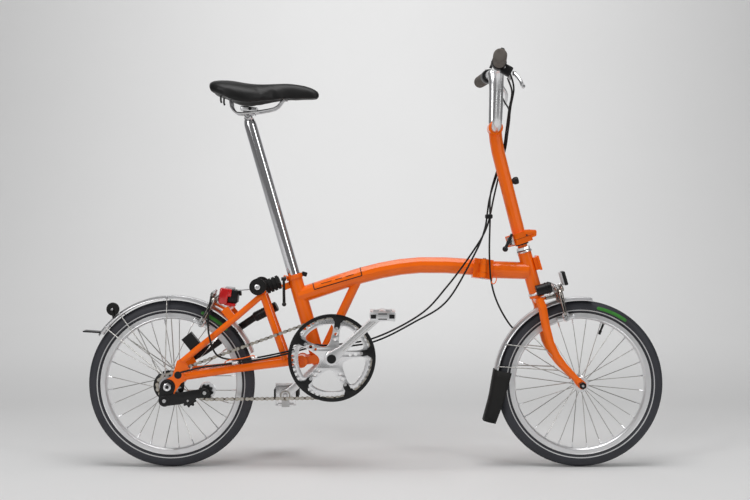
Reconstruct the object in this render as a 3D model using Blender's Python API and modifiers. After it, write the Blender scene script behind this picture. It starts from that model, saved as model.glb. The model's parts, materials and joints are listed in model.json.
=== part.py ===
"""A folding bicycle with 16 inch wheels, as separate parts.

Row frame: metres, +X forward, +Y to the rider's left, +Z up, the ground at z = 0.
The chain and the chainring are on the right, at -Y.
"""

import math

import bmesh
import bpy
from mathutils import Matrix, Vector

# ------------------------------------------------------------------ driving dimensions

TYRE_R = 0.2115
TYRE_SECTION_R = 0.0175
TYRE_BEAD_R = 0.1802
RIM_OUTER_R = 0.1797
RIM_INNER_R = 0.1640
RIM_HALF_WIDTH = 0.0120
SPOKE_R = 0.0011
SPOKES = 28

REAR_AXLE = Vector((-0.5135, 0.0, TYRE_R))
FRONT_AXLE = Vector((0.5268, 0.0, TYRE_R))
BRACKET = Vector((-0.1035, 0.0, 0.2825))  # bottom bracket axis
REAR_PIVOT = Vector((-0.1820, 0.0, 0.2700))

SEAT_LEAN = math.radians(16.2)
SEAT_UP = Vector((-math.sin(SEAT_LEAN), 0.0, math.cos(SEAT_LEAN)))
SEAT_TUBE_TOP = Vector((-0.2024, 0.0, 0.4890))
SEAT_TUBE_LENGTH = 0.2350
SEAT_TUBE_R = 0.0184
SEAT_BORE_R = 0.0164
SEATPOST_R = 0.0159
SEATPOST_LENGTH = 0.5000
SEATPOST_ABOVE = 0.4130  # from the seat tube's top to the head, along the post

HEAD_LEAN = math.radians(16.0)
HEAD_UP = Vector((-math.sin(HEAD_LEAN), 0.0, math.cos(HEAD_LEAN)))
HEAD_FORWARD = Vector((math.cos(HEAD_LEAN), 0.0, math.sin(HEAD_LEAN)))
HEAD_POINT = Vector((0.4134, 0.0, 0.4494))  # on the steering axis
HEAD_TUBE_LOW = -0.0120
HEAD_TUBE_HIGH = 0.0990
HEAD_TUBE_R = 0.0176
STEERER_R = 0.0127

HINGE_POINT = Vector((0.2783, -0.0360, 0.5060))  # main hinge pin, mid height
HINGE_FORWARD_TILT = math.radians(7.0)
HINGE_SIDE_TILT = math.radians(5.0)
HINGE_PIN_R = 0.0040
KNUCKLE_R = 0.0090

MAIN_TUBE_R = 0.0203
CHAIN_Y = -0.0510
CHAINRING_TEETH = 50
SPROCKET_TEETH = 14
JOCKEY_TEETH = 9
CHAIN_PITCH = 0.0127
CHAIN_R = 0.0038
CRANK_LENGTH = 0.1700
CRANK_ANGLE = math.radians(41.9)
JOCKEY_FRONT = Vector((-0.4205, CHAIN_Y, 0.1964))
JOCKEY_REAR = Vector((-0.4625, CHAIN_Y, 0.1770))
TENSIONER_PIVOT = Vector((-0.5214, 0.0, 0.1765))

STEM_PARTING = 0.1380  # along the steering axis from HEAD_POINT
STEM_HINGE_OFFSET = 0.0340
BAR_CENTRE = Vector((0.3110, 0.0, 0.8620))
BAR_R = 0.0125
GRIP_END_Y = 0.2600

GAP = 0.0003  # between touching pieces
RUNNING = 0.0004  # across a moving joint


def hinge_direction():
    """The main hinge pin's direction, pointing up."""
    x = math.sin(HINGE_FORWARD_TILT)
    y = math.sin(HINGE_SIDE_TILT)
    return Vector((x, y, math.sqrt(1.0 - x * x - y * y)))


HINGE_UP = hinge_direction()
STEM_HINGE_AXIS = (HEAD_FORWARD - Vector((0.0, 1.0, 0.0))).normalized()
STEM_HINGE_SIDE = (HEAD_FORWARD + Vector((0.0, 1.0, 0.0))).normalized()
STEM_PLANE_POINT = HEAD_POINT + HEAD_UP * STEM_PARTING
STEM_HINGE_POINT = STEM_PLANE_POINT + STEM_HINGE_SIDE * STEM_HINGE_OFFSET


def pitch_radius(teeth):
    return CHAIN_PITCH / (2.0 * math.sin(math.pi / teeth))


# ------------------------------------------------------------------ scene and materials

for old in list(bpy.data.objects):
    bpy.data.objects.remove(old, do_unlink=True)

PARTS = bpy.data.collections.new("folding_bicycle")
bpy.context.scene.collection.children.link(PARTS)
MATERIALS = {}


def material(name, colour, roughness, metallic):
    """A Principled material, made once for each name."""
    if name not in MATERIALS:
        made = bpy.data.materials.new(name)
        made.use_nodes = True
        shader = made.node_tree.nodes["Principled BSDF"]
        shader.inputs["Base Color"].default_value = (*colour, 1.0)
        shader.inputs["Roughness"].default_value = roughness
        shader.inputs["Metallic"].default_value = metallic
        MATERIALS[name] = made
    return MATERIALS[name]


ORANGE = material("orange_paint", (0.90, 0.13, 0.01), 0.25, 0.0)
SILVER = material("silver_alloy", (0.75, 0.75, 0.76), 0.30, 1.0)
CHROME = material("chrome", (0.85, 0.85, 0.87), 0.08, 1.0)
STEEL = material("steel", (0.55, 0.55, 0.56), 0.35, 1.0)
BLACK = material("black_plastic", (0.02, 0.02, 0.02), 0.45, 0.0)
RUBBER = material("black_rubber", (0.015, 0.015, 0.015), 0.80, 0.0)
FOAM = material("foam_grip", (0.12, 0.11, 0.10), 0.90, 0.0)
RED = material("red_lens", (0.60, 0.01, 0.01), 0.15, 0.0)


# ------------------------------------------------------------------ solids


def solid(name, mesh):
    """A loose object that holds one closed mesh, until finish() gives it its node."""
    made = bpy.data.objects.new(name, mesh)
    PARTS.objects.link(made)
    return made


def from_bmesh(name, shape):
    mesh = bpy.data.meshes.new(name)
    bmesh.ops.recalc_face_normals(shape, faces=shape.faces)
    shape.to_mesh(mesh)
    shape.free()
    return solid(name, mesh)


def cone(start, end, start_r, end_r, sides=16):
    """A cylinder or cone between two points."""
    shape = bmesh.new()
    along = end - start
    turn = Vector((0.0, 0.0, 1.0)).rotation_difference(along).to_matrix().to_4x4()
    place = Matrix.Translation((start + end) / 2.0) @ turn
    bmesh.ops.create_cone(
        shape,
        cap_ends=True,
        segments=sides,
        radius1=start_r,
        radius2=end_r,
        depth=along.length,
        matrix=place,
    )
    return from_bmesh("cone", shape)


def cylinder(start, end, radius, sides=16):
    return cone(start, end, radius, radius, sides)


def across(centre, low_y, high_y, radius, sides=16):
    """A cylinder along Y, on centre's x and z."""
    start = Vector((centre.x, low_y, centre.z))
    end = Vector((centre.x, high_y, centre.z))
    return cylinder(start, end, radius, sides)


def box(centre, size, lean=0.0):
    """A box, turned about Y by lean: a positive lean lifts its +X end."""
    shape = bmesh.new()
    place = Matrix.Translation(centre) @ Matrix.Rotation(-lean, 4, "Y")
    bmesh.ops.create_cube(shape, size=1.0, matrix=place @ Matrix.Diagonal((*size, 1.0)))
    return from_bmesh("box", shape)


def framed_box(centre, size, x_axis, z_axis):
    """A box whose own x and z axes point along the two given directions."""
    y_axis = z_axis.cross(x_axis)
    turn = Matrix((x_axis, y_axis, z_axis)).transposed().to_4x4()
    shape = bmesh.new()
    place = Matrix.Translation(centre) @ turn @ Matrix.Diagonal((*size, 1.0))
    bmesh.ops.create_cube(shape, size=1.0, matrix=place)
    return from_bmesh("box", shape)


def ball(centre, radius):
    shape = bmesh.new()
    bmesh.ops.create_uvsphere(
        shape, u_segments=10, v_segments=6, radius=radius, matrix=Matrix.Translation(centre)
    )
    return from_bmesh("ball", shape)


def tube(points, radius, closed=False, resolution=2, radii=None):
    """A round tube through the points, as one mesh with its caps welded."""
    curve = bpy.data.curves.new("tube", "CURVE")
    curve.dimensions = "3D"
    curve.bevel_depth = radius
    curve.bevel_resolution = resolution
    curve.use_fill_caps = not closed
    spline = curve.splines.new("POLY")
    spline.points.add(len(points) - 1)
    for index, point in enumerate(points):
        spline.points[index].co = (*point, 1.0)
        spline.points[index].radius = radii[index] if radii else 1.0
    spline.use_cyclic_u = closed
    holder = bpy.data.objects.new("tube", curve)
    PARTS.objects.link(holder)
    bpy.context.view_layer.update()
    seen = holder.evaluated_get(bpy.context.evaluated_depsgraph_get())
    mesh = bpy.data.meshes.new_from_object(seen)
    bpy.data.objects.remove(holder, do_unlink=True)
    shape = bmesh.new()
    shape.from_mesh(mesh)
    bmesh.ops.remove_doubles(shape, verts=shape.verts, dist=0.00001)
    return from_bmesh("tube", shape)


def smooth_path(points, steps):
    """Points on a smooth curve through the given points (Catmull-Rom)."""
    path = []
    last = len(points) - 1
    for index in range(last):
        before = points[max(index - 1, 0)]
        start = points[index]
        end = points[index + 1]
        after = points[min(index + 2, last)]
        for step in range(steps):
            t = step / steps
            path.append(
                0.5
                * (
                    2.0 * start
                    + (end - before) * t
                    + (2.0 * before - 5.0 * start + 4.0 * end - after) * t * t
                    + (3.0 * start - before - 3.0 * end + after) * t * t * t
                )
            )
    path.append(points[last])
    return path


def turned(centre, profile, steps):
    """A closed ring: the profile's (radius, offset) points turned about centre's Y axis."""
    mesh = bpy.data.meshes.new("turned")
    corners = [(radius, 0.0, offset) for radius, offset in profile]
    edges = [(index, (index + 1) % len(corners)) for index in range(len(corners))]
    mesh.from_pydata(corners, edges, [])
    holder = bpy.data.objects.new("turned", mesh)
    PARTS.objects.link(holder)
    screw = holder.modifiers.new("screw", "SCREW")
    screw.axis = "Z"
    screw.steps = steps
    screw.render_steps = steps
    screw.use_merge_vertices = True
    screw.merge_threshold = 0.00001
    holder.matrix_world = Matrix.Translation(centre) @ Matrix.Rotation(math.pi / 2.0, 4, "X")
    return baked(holder)


def baked(holder):
    """The holder's evaluated mesh in world space, as a loose solid; the holder goes."""
    bpy.context.view_layer.update()
    seen = holder.evaluated_get(bpy.context.evaluated_depsgraph_get())
    mesh = bpy.data.meshes.new_from_object(seen)
    mesh.transform(holder.matrix_world)
    bpy.data.objects.remove(holder, do_unlink=True)
    shape = bmesh.new()
    shape.from_mesh(mesh)
    bmesh.ops.remove_doubles(shape, verts=shape.verts, dist=0.00001)
    return from_bmesh("baked", shape)


def outline(points, low_y, high_y, holes=()):
    """A flat outline of (x, z) points, with holes, extruded along Y."""
    curve = bpy.data.curves.new("outline", "CURVE")
    curve.dimensions = "2D"
    curve.fill_mode = "BOTH"
    curve.extrude = (high_y - low_y) / 2.0
    for ring in (points, *holes):
        spline = curve.splines.new("POLY")
        spline.points.add(len(ring) - 1)
        for index, (x, z) in enumerate(ring):
            spline.points[index].co = (x, z, 0.0, 1.0)
        spline.use_cyclic_u = True
    holder = bpy.data.objects.new("outline", curve)
    PARTS.objects.link(holder)
    middle = Vector((0.0, (low_y + high_y) / 2.0, 0.0))
    holder.matrix_world = Matrix.Translation(middle) @ Matrix.Rotation(math.pi / 2.0, 4, "X")
    return baked(holder)


def boolean(base, other, operation):
    """Join or cut two solids exactly, and keep the result as the base's mesh."""
    change = base.modifiers.new("boolean", "BOOLEAN")
    change.operation = operation
    change.object = other
    change.solver = "EXACT"
    bpy.context.view_layer.update()
    seen = base.evaluated_get(bpy.context.evaluated_depsgraph_get())
    mesh = bpy.data.meshes.new_from_object(seen)
    base.modifiers.remove(change)
    base.data = mesh
    bpy.data.objects.remove(other, do_unlink=True)
    return base


def joined(base, *others):
    for other in others:
        base = boolean(base, other, "UNION")
    return base


def cut(base, *others):
    for other in others:
        base = boolean(base, other, "DIFFERENCE")
    return base


def grouped(*solids):
    """Solids that don't touch, put in one mesh so that one Boolean joins them all."""
    shape = bmesh.new()
    for item in solids:
        shape.from_mesh(item.data)
        bpy.data.objects.remove(item, do_unlink=True)
    return from_bmesh("group", shape)


def mirrored(make):
    """A solid made for the right side, and its reflection for the left."""
    right = make()
    shape = bmesh.new()
    shape.from_mesh(right.data)
    bmesh.ops.scale(shape, vec=(1.0, -1.0, 1.0), verts=shape.verts)
    bmesh.ops.reverse_faces(shape, faces=shape.faces)
    return right, from_bmesh("left", shape)


def pivot(name, place, parent=None):
    """An empty on a joint's axis, which its moving pieces are parented to."""
    empty = bpy.data.objects.new(name, None)
    PARTS.objects.link(empty)
    empty["place"] = tuple(place)
    empty.location = place
    if parent is not None:
        empty.parent = parent
        empty.location = place - Vector(parent["place"])
    return empty


def finish(item, name, look, parent=None, smooth=40.0):
    """Name a solid as a node, give it its material and hang it on its pivot."""
    item.name = name
    item.data.name = name
    item.data.materials.clear()
    item.data.materials.append(look)
    item.data.shade_smooth()
    item.data.set_sharp_from_angle(angle=math.radians(smooth))
    if parent is not None:
        item.parent = parent
        item.matrix_parent_inverse = Matrix.Translation(-Vector(parent["place"]))
    return item


def circle(centre, radius, count, phase=0.0):
    """Points (x, z) round a circle."""
    turn = 2.0 * math.pi / count
    return [
        (centre[0] + radius * math.cos(phase + turn * k), centre[1] + radius * math.sin(phase + turn * k))
        for k in range(count)
    ]


def bar_outline(start, start_r, end, end_r, arc=7):
    """The (x, z) outline round two circles: a flat bar with round ends."""
    dx = end[0] - start[0]
    dz = end[1] - start[1]
    heading = math.atan2(dz, dx)
    spread = math.acos((start_r - end_r) / math.hypot(dx, dz))
    points = []
    for k in range(arc + 1):
        angle = heading + spread + (2.0 * math.pi - 2.0 * spread) * k / arc
        points.append((start[0] + start_r * math.cos(angle), start[1] + start_r * math.sin(angle)))
    for k in range(arc + 1):
        angle = heading - spread + 2.0 * spread * k / arc
        points.append((end[0] + end_r * math.cos(angle), end[1] + end_r * math.sin(angle)))
    return points


def on_wheel(axle, radius, angle, y=0.0):
    """A point at an angle round a wheel, 0 forward and 90 degrees up."""
    turn = math.radians(angle)
    return Vector((axle.x + radius * math.cos(turn), y, axle.z + radius * math.sin(turn)))


# ------------------------------------------------------------------ pivots of the moving bodies

CRANK_END = BRACKET + CRANK_LENGTH * Vector((math.cos(CRANK_ANGLE), 0.0, math.sin(CRANK_ANGLE)))
LEFT_CRANK_END = BRACKET * 2.0 - CRANK_END
PEDAL_HINGE_DROP = 0.0300
LEFT_PEDAL_HINGE = LEFT_CRANK_END + Vector((0.0, 0.0865, -PEDAL_HINGE_DROP))
ROLLER_AXLE = Vector((-0.2900, 0.0, 0.4600))
MUDGUARD_ROLLER_AXLE = Vector((-0.6648, 0.0, 0.4004))
SEAT_LEVER_PIVOT = Vector((-0.2262, -0.0290, 0.4790))
HINGE_FORWARD = (Vector((1.0, 0.0, 0.0)) - HINGE_UP * HINGE_UP.x).normalized()
HINGE_LEFT = HINGE_UP.cross(HINGE_FORWARD)
HINGE_CLAMP_PIVOT = HINGE_POINT + HINGE_LEFT * 0.0590
STEM_CLAMP_PIVOT = STEM_PLANE_POINT - STEM_HINGE_SIDE * 0.0400
LEVER_PIVOT = Vector((0.3440, -0.1340, 0.9850))
TRIGGER_PIVOT = Vector((0.3100, -0.1225, 1.0110))
BRAKE_PIVOT_R = 0.2430
BRAKE_PIVOT_Y = 0.0085
REAR_BRAKE_ANGLE = 63.0
FRONT_BRAKE_ANGLE = 103.0


def brake_pivot(axle, angle, side):
    return on_wheel(axle, BRAKE_PIVOT_R, angle, side * BRAKE_PIVOT_Y)


def flipped(point):
    return Vector((point.x, -point.y, point.z))


FRONT_FRAME = pivot("front_frame_pivot", HINGE_POINT)
FORK = pivot("fork_pivot", HEAD_POINT, FRONT_FRAME)
FRONT_WHEEL = pivot("front_wheel_pivot", FRONT_AXLE, FORK)
FRONT_ARM_RIGHT = pivot("front_arm_right_pivot", brake_pivot(FRONT_AXLE, FRONT_BRAKE_ANGLE, -1.0), FORK)
FRONT_ARM_LEFT = pivot("front_arm_left_pivot", brake_pivot(FRONT_AXLE, FRONT_BRAKE_ANGLE, 1.0), FORK)
STEM_CLAMP = pivot("stem_clamp_pivot", STEM_CLAMP_PIVOT, FORK)
STEM = pivot("stem_pivot", STEM_HINGE_POINT, FORK)
LEVER_RIGHT = pivot("right_lever_pivot", LEVER_PIVOT, STEM)
LEVER_LEFT = pivot("left_lever_pivot", flipped(LEVER_PIVOT), STEM)
TRIGGER_RIGHT = pivot("right_trigger_pivot", TRIGGER_PIVOT, STEM)
TRIGGER_LEFT = pivot("left_trigger_pivot", flipped(TRIGGER_PIVOT), STEM)
REAR_FRAME = pivot("rear_frame_pivot", REAR_PIVOT)
REAR_WHEEL = pivot("rear_wheel_pivot", REAR_AXLE, REAR_FRAME)
SPROCKET = pivot("sprocket_pivot", REAR_AXLE, REAR_FRAME)
ROLLER_RIGHT = pivot("right_roller_pivot", ROLLER_AXLE, REAR_FRAME)
ROLLER_LEFT = pivot("left_roller_pivot", ROLLER_AXLE, REAR_FRAME)
ROLLER_BACK = pivot("mudguard_roller_pivot", MUDGUARD_ROLLER_AXLE, REAR_FRAME)
REAR_ARM_RIGHT = pivot("rear_arm_right_pivot", brake_pivot(REAR_AXLE, REAR_BRAKE_ANGLE, -1.0), REAR_FRAME)
REAR_ARM_LEFT = pivot("rear_arm_left_pivot", brake_pivot(REAR_AXLE, REAR_BRAKE_ANGLE, 1.0), REAR_FRAME)
TENSIONER = pivot("tensioner_pivot", TENSIONER_PIVOT, REAR_FRAME)
JOCKEY_A = pivot("front_jockey_pivot", JOCKEY_FRONT, TENSIONER)
JOCKEY_B = pivot("rear_jockey_pivot", JOCKEY_REAR, TENSIONER)
CRANKSET = pivot("crankset_pivot", BRACKET)
PEDAL_RIGHT = pivot("right_pedal_pivot", CRANK_END, CRANKSET)
PEDAL_BEARING = pivot("left_pedal_bearing_pivot", LEFT_CRANK_END, CRANKSET)
PEDAL_LEFT = pivot("left_pedal_pivot", LEFT_PEDAL_HINGE, PEDAL_BEARING)
SEATPOST = pivot("seatpost_pivot", SEAT_TUBE_TOP)
SEAT_LEVER = pivot("seat_lever_pivot", SEAT_LEVER_PIVOT)
HINGE_CLAMP = pivot("hinge_clamp_pivot", HINGE_CLAMP_PIVOT)


# ------------------------------------------------------------------ wheels

TYRE_STEPS = 44
RIM_STEPS = 36


def tyre(axle):
    """A tyre: a round section, flat at the bead that sits on the rim."""
    middle = TYRE_R - TYRE_SECTION_R
    start = math.radians(-128.0)
    count = 9
    profile = []
    for k in range(count):
        angle = start - 2.0 * start * k / (count - 1)
        profile.append((middle + TYRE_SECTION_R * math.cos(angle), TYRE_SECTION_R * math.sin(angle)))
    profile.append((TYRE_BEAD_R, 0.0105))
    profile.append((TYRE_BEAD_R, -0.0105))
    return turned(axle, profile, TYRE_STEPS)


def rim(axle):
    """A box-section rim with a narrower inner edge."""
    edge = RIM_HALF_WIDTH
    profile = [
        (RIM_OUTER_R, -edge),
        (RIM_OUTER_R, edge),
        (RIM_INNER_R + 0.0050, edge),
        (RIM_INNER_R, 0.0060),
        (RIM_INNER_R, -0.0060),
        (RIM_INNER_R + 0.0050, -edge),
    ]
    return turned(axle, profile, RIM_STEPS)


def hub(axle, flange_y, flange_r, barrel_r, bore_r, crossing):
    """A hub shell with its spokes, which are rooted in the flanges and stop just short of the rim.

    crossing is how far, in degrees, each spoke leans along the flange, alternately each way.
    """
    half = flange_y + 0.0025
    low = flange_y - 0.0025
    profile = [
        (bore_r, -half),
        (flange_r, -half),
        (flange_r, -low),
        (barrel_r, -low + 0.0040),
        (barrel_r, low - 0.0040),
        (flange_r, low),
        (flange_r, half),
        (bore_r, half),
    ]
    shell = turned(axle, profile, 16)
    spokes = []
    per_side = SPOKES // 2
    root_r = flange_r - 0.0025
    tip_r = RIM_INNER_R - 2.0 * SPOKE_R
    for side in (-1.0, 1.0):
        for k in range(per_side):
            angle = 360.0 * (k + (0.25 if side > 0.0 else 0.75)) / per_side
            way = 1.0 if k % 2 == 0 else -1.0
            level = way * 0.0014 if crossing > 0.0 else 0.0
            root = on_wheel(axle, root_r, angle + way * crossing, side * (flange_y + level))
            tip = on_wheel(axle, tip_r, angle, side * (0.0035 + 2.0 * level / 3.0))
            spokes.append(cylinder(root, tip, SPOKE_R, 3))
    return joined(shell, grouped(*spokes))


def make_wheels():
    for name, axle, parent in (("rear", REAR_AXLE, REAR_WHEEL), ("front", FRONT_AXLE, FRONT_WHEEL)):
        finish(tyre(axle), name + "_tyre", RUBBER, parent)
        finish(rim(axle), name + "_rim", SILVER, parent)
    rear = hub(REAR_AXLE, 0.0280, 0.0290, 0.0230, 0.0062, 26.0)
    front = hub(FRONT_AXLE, 0.0250, 0.0190, 0.0130, 0.0057, 0.0)
    finish(rear, "rear_hub_and_spokes", STEEL, REAR_WHEEL)
    finish(front, "front_hub_and_spokes", STEEL, FRONT_WHEEL)
    finish(make_axle(FRONT_AXLE, 0.0050, 0.0360, 0.0435, 0.0500), "front_axle", STEEL, FORK)
    finish(make_axle(REAR_AXLE, 0.0055, 0.0570, 0.0645, 0.0730), "rear_axle", STEEL, REAR_FRAME)


def make_axle(axle, rod_r, inner_nut_y, nut_y, end_y):
    """An axle with a cone nut inside each dropout and a nut outside it, all separate solids."""
    rod = across(axle, -end_y, end_y, rod_r, 10)
    nut_r = rod_r * 1.9
    for side in (-1.0, 1.0):
        outer = sorted((side * nut_y, side * (end_y - 0.0015)))
        inner = sorted((side * (inner_nut_y - 0.0040), side * inner_nut_y))
        rod = joined(rod, across(axle, outer[0], outer[1], nut_r, 6))
        rod = joined(rod, across(axle, inner[0], inner[1], nut_r * 0.9, 8))
    return rod


# ------------------------------------------------------------------ main frame

MAIN_TUBE_POINTS = (
    (-0.1900, 0.4345),
    (-0.1360, 0.4521),
    (-0.0840, 0.4700),
    (-0.0312, 0.4863),
    (0.0190, 0.4990),
    (0.0685, 0.5080),
    (0.1196, 0.5128),
    (0.1860, 0.5125),
    (0.2300, 0.5095),
    (0.2560, 0.5072),
)
STRUT_TOP = Vector((-0.0370, 0.0, 0.4810))
STRUT_FOOT = Vector((-0.1230, 0.0, 0.3010))
STRUT_R = 0.0115
BRACKET_SHELL_R = 0.0205
BRACKET_SHELL_HALF = 0.0340
PIVOT_TUBE_R = 0.0145
PIVOT_TUBE_HALF = 0.0238
HINGE_PLATE_REAR = 0.0240
HINGE_HALF_HEIGHT = 0.0245
KNUCKLE_GAP = 0.0005
KNUCKLE_MIDDLE_HALF = 0.0100


def hinge_half(direction):
    """One hinge casting: a plate on one side of the parting face, and its knuckles.

    direction is -1 for the rear frame's half and 1 for the front frame's half.
    """
    forward, up = HINGE_FORWARD, HINGE_UP
    left = up.cross(forward)
    thick = HINGE_PLATE_REAR
    middle = HINGE_POINT + left * 0.0345 + forward * direction * (thick / 2.0 + GAP)
    plate = framed_box(middle, (thick, 0.0480, HINGE_HALF_HEIGHT * 2.0), forward, up)
    low = KNUCKLE_MIDDLE_HALF
    high = HINGE_HALF_HEIGHT - 0.0007
    spans = ((-low, low),)
    if direction < 0.0:
        spans = ((-high, -low - KNUCKLE_GAP), (low + KNUCKLE_GAP, high))
    for start, end in spans:
        barrel = cylinder(HINGE_POINT + up * start, HINGE_POINT + up * end, KNUCKLE_R, 16)
        web_middle = HINGE_POINT + left * 0.0070 + forward * direction * 0.0070
        web_middle = web_middle + up * (start + end) / 2.0
        web = framed_box(web_middle, (0.0130, 0.0140, (end - start) * 0.93), forward, up)
        plate = joined(plate, barrel, web)
    reach = up * (high + 0.0100)
    bore = cylinder(HINGE_POINT - reach, HINGE_POINT + reach, HINGE_PIN_R + RUNNING, 16)
    return cut(plate, bore)


def suspension_seat():
    """The bracket behind the seat tube that the rubber block pushes on."""
    return box(Vector((-0.2215, 0.0, 0.4590)), (0.0200, 0.0250, 0.0160), math.radians(22.0))


def make_main_frame():
    seat_foot = SEAT_TUBE_TOP - SEAT_UP * SEAT_TUBE_LENGTH
    frame = cylinder(seat_foot, SEAT_TUBE_TOP, SEAT_TUBE_R, 24)
    points = [Vector((x, 0.0, z)) for x, z in MAIN_TUBE_POINTS]
    frame = joined(frame, tube(points, MAIN_TUBE_R, resolution=4))
    frame = joined(frame, cylinder(STRUT_FOOT, STRUT_TOP, STRUT_R, 16))
    shell = across(BRACKET, -BRACKET_SHELL_HALF, BRACKET_SHELL_HALF, BRACKET_SHELL_R, 24)
    frame = joined(frame, shell)
    frame = joined(frame, across(REAR_PIVOT, -PIVOT_TUBE_HALF, PIVOT_TUBE_HALF, PIVOT_TUBE_R, 20))
    middle = (BRACKET + REAR_PIVOT) / 2.0
    reach = BRACKET - REAR_PIVOT
    lean = math.atan2(reach.z, reach.x)
    for side in (-1.0, 1.0):
        place = middle + Vector((0.0, side * 0.0203, 0.0))
        frame = joined(frame, box(place, (reach.length, 0.0060, 0.0210), lean))
    frame = joined(frame, suspension_seat())
    frame = joined(frame, hinge_half(-1.0))
    bore = cylinder(seat_foot - SEAT_UP * 0.02, SEAT_TUBE_TOP + SEAT_UP * 0.02, SEAT_BORE_R, 24)
    spindle_room = across(BRACKET, -0.0500, 0.0500, 0.0115, 20)
    spindle_hole = across(REAR_PIVOT, -0.0400, 0.0400, 0.0060, 16)
    frame = cut(frame, bore, spindle_room, spindle_hole)
    finish(frame, "main_frame", ORANGE)


def make_hinge_pin():
    reach = HINGE_UP * (HINGE_HALF_HEIGHT + 0.0015)
    pin = cylinder(HINGE_POINT - reach, HINGE_POINT + reach, HINGE_PIN_R, 16)
    finish(pin, "main_hinge_pin", STEEL)


def make_hinge_clamp():
    """The clamp plate over the hinge's left edge, with its stud, nut and lever."""
    forward, up = HINGE_FORWARD, HINGE_UP
    left = up.cross(forward)
    base = HINGE_POINT + left * 0.0590
    plate = framed_box(base + left * 0.0045, (0.0300, 0.0080, 0.0340), forward, up)
    stud = cylinder(base + left * 0.0040, base + left * 0.0260, 0.0045, 12)
    nut = cylinder(base + left * 0.0120, base + left * 0.0200, 0.0100, 12)
    root = base + left * 0.0230
    tip = root - forward * 0.0720 - up * 0.0060
    lever = cone(root + forward * 0.0080, tip, 0.0060, 0.0048, 10)
    clamp = joined(plate, stud, nut, lever, ball(tip, 0.0070))
    finish(clamp, "main_hinge_clamp", SILVER, HINGE_CLAMP)


def make_seat_clamp():
    """The band clamp round the seat tube's top, with ears for its bolt."""
    low = SEAT_TUBE_TOP - SEAT_UP * 0.0115
    high = SEAT_TUBE_TOP - SEAT_UP * 0.0005
    band = cylinder(low, high, 0.0222, 24)
    ear_up = (low + high) / 2.0
    front = ear_up + Vector((0.0240, 0.0, 0.0070))
    rear = ear_up + Vector((-0.0220, -0.0140, 0.0))
    band = joined(band, box(front, (0.0160, 0.0140, 0.0120), -SEAT_LEAN))
    band = joined(band, box(rear, (0.0110, 0.0180, 0.0085), -SEAT_LEAN))
    room = cylinder(low - SEAT_UP * 0.02, high + SEAT_UP * 0.02, SEAT_TUBE_R + GAP, 24)
    finish(cut(band, room), "seat_clamp", BLACK)
    top = SEAT_LEVER_PIVOT
    knob = Vector((top.x + 0.0010, top.y, 0.4150))
    lever = cone(top, knob, 0.0034, 0.0040, 10)
    lever = joined(lever, ball(knob, 0.0058))
    root = cylinder(top - Vector((0.0060, 0.0, 0.0)), top + Vector((0.0060, 0.0, 0.0)), 0.0045, 12)
    finish(joined(lever, root), "seat_clamp_lever", BLACK, SEAT_LEVER)


# ------------------------------------------------------------------ seatpost and saddle

SEATPOST_HEAD = SEAT_TUBE_TOP + SEAT_UP * SEATPOST_ABOVE
RAIL_R = 0.0034
RAIL_POINTS = (
    (-0.3620, 0.0220, 0.9340),
    (-0.3600, 0.0220, 0.9160),
    (-0.3510, 0.0220, 0.9030),
    (-0.3365, 0.0220, 0.8985),
    (-0.2900, 0.0220, 0.9034),
    (-0.2519, 0.0180, 0.9110),
    (-0.2380, 0.0150, 0.9220),
    (-0.2290, 0.0120, 0.9340),
)
RAIL_NOSE = (-0.2210, 0.0, 0.9330)
# x, top, underside, lip, half width of the saddle's sections, rear to nose
SADDLE_SECTIONS = (
    (-0.4160, 0.9650, 0.9560, 0.9530, 0.0200),
    (-0.4080, 0.9780, 0.9480, 0.9400, 0.0460),
    (-0.3850, 0.9820, 0.9430, 0.9280, 0.0680),
    (-0.3500, 0.9780, 0.9415, 0.9180, 0.0740),
    (-0.3060, 0.9690, 0.9410, 0.9155, 0.0630),
    (-0.2600, 0.9700, 0.9430, 0.9280, 0.0390),
    (-0.2150, 0.9735, 0.9445, 0.9310, 0.0260),
    (-0.1720, 0.9710, 0.9410, 0.9320, 0.0210),
    (-0.1440, 0.9610, 0.9400, 0.9325, 0.0170),
    (-0.1330, 0.9500, 0.9400, 0.9380, 0.0080),
)


def section_ring(x, top, underside, lip, half):
    """A saddle section: a domed top, full sides with a lip below, and a hollow underside."""
    height = top - lip
    right = (
        (0.42, top - 0.04 * height),
        (0.78, top - 0.20 * height),
        (0.97, top - 0.45 * height),
        (1.00, lip + 0.28 * height),
        (0.93, lip),
        (0.80, lip + 0.0010),
        (0.70, underside),
    )
    ring = [(x, 0.0, top)]
    ring += [(x, half * share, z) for share, z in right]
    ring.append((x, 0.0, underside))
    ring += [(x, -half * share, z) for share, z in reversed(right)]
    return ring


def lofted(rings):
    """A closed solid through rings of equal count, with flat ends."""
    shape = bmesh.new()
    rows = [[shape.verts.new(corner) for corner in ring] for ring in rings]
    count = len(rows[0])
    for row, following in zip(rows, rows[1:]):
        for k in range(count):
            after = (k + 1) % count
            shape.faces.new((row[k], row[after], following[after], following[k]))
    shape.faces.new(list(reversed(rows[0])))
    shape.faces.new(rows[-1])
    return from_bmesh("loft", shape)


def make_seatpost():
    foot = SEATPOST_HEAD - SEAT_UP * SEATPOST_LENGTH
    post = cylinder(foot, SEATPOST_HEAD, SEATPOST_R, 24)
    head = box(Vector((-0.3190, 0.0, 0.8935)), (0.0420, 0.0340, 0.0250), math.radians(7.0))
    finish(joined(post, head), "seatpost", CHROME, SEATPOST)
    left = [Vector(point) for point in RAIL_POINTS]
    right = [flipped(point) for point in reversed(left)]
    path = smooth_path(left + [Vector(RAIL_NOSE)] + right, 2)
    rails = tube(path, RAIL_R, resolution=1)
    saddle = lofted([section_ring(*row) for row in SADDLE_SECTIONS])
    finish(rails, "saddle_rails", STEEL, SEATPOST)
    finish(saddle, "saddle", RUBBER, SEATPOST)


# ------------------------------------------------------------------ rear frame

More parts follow.
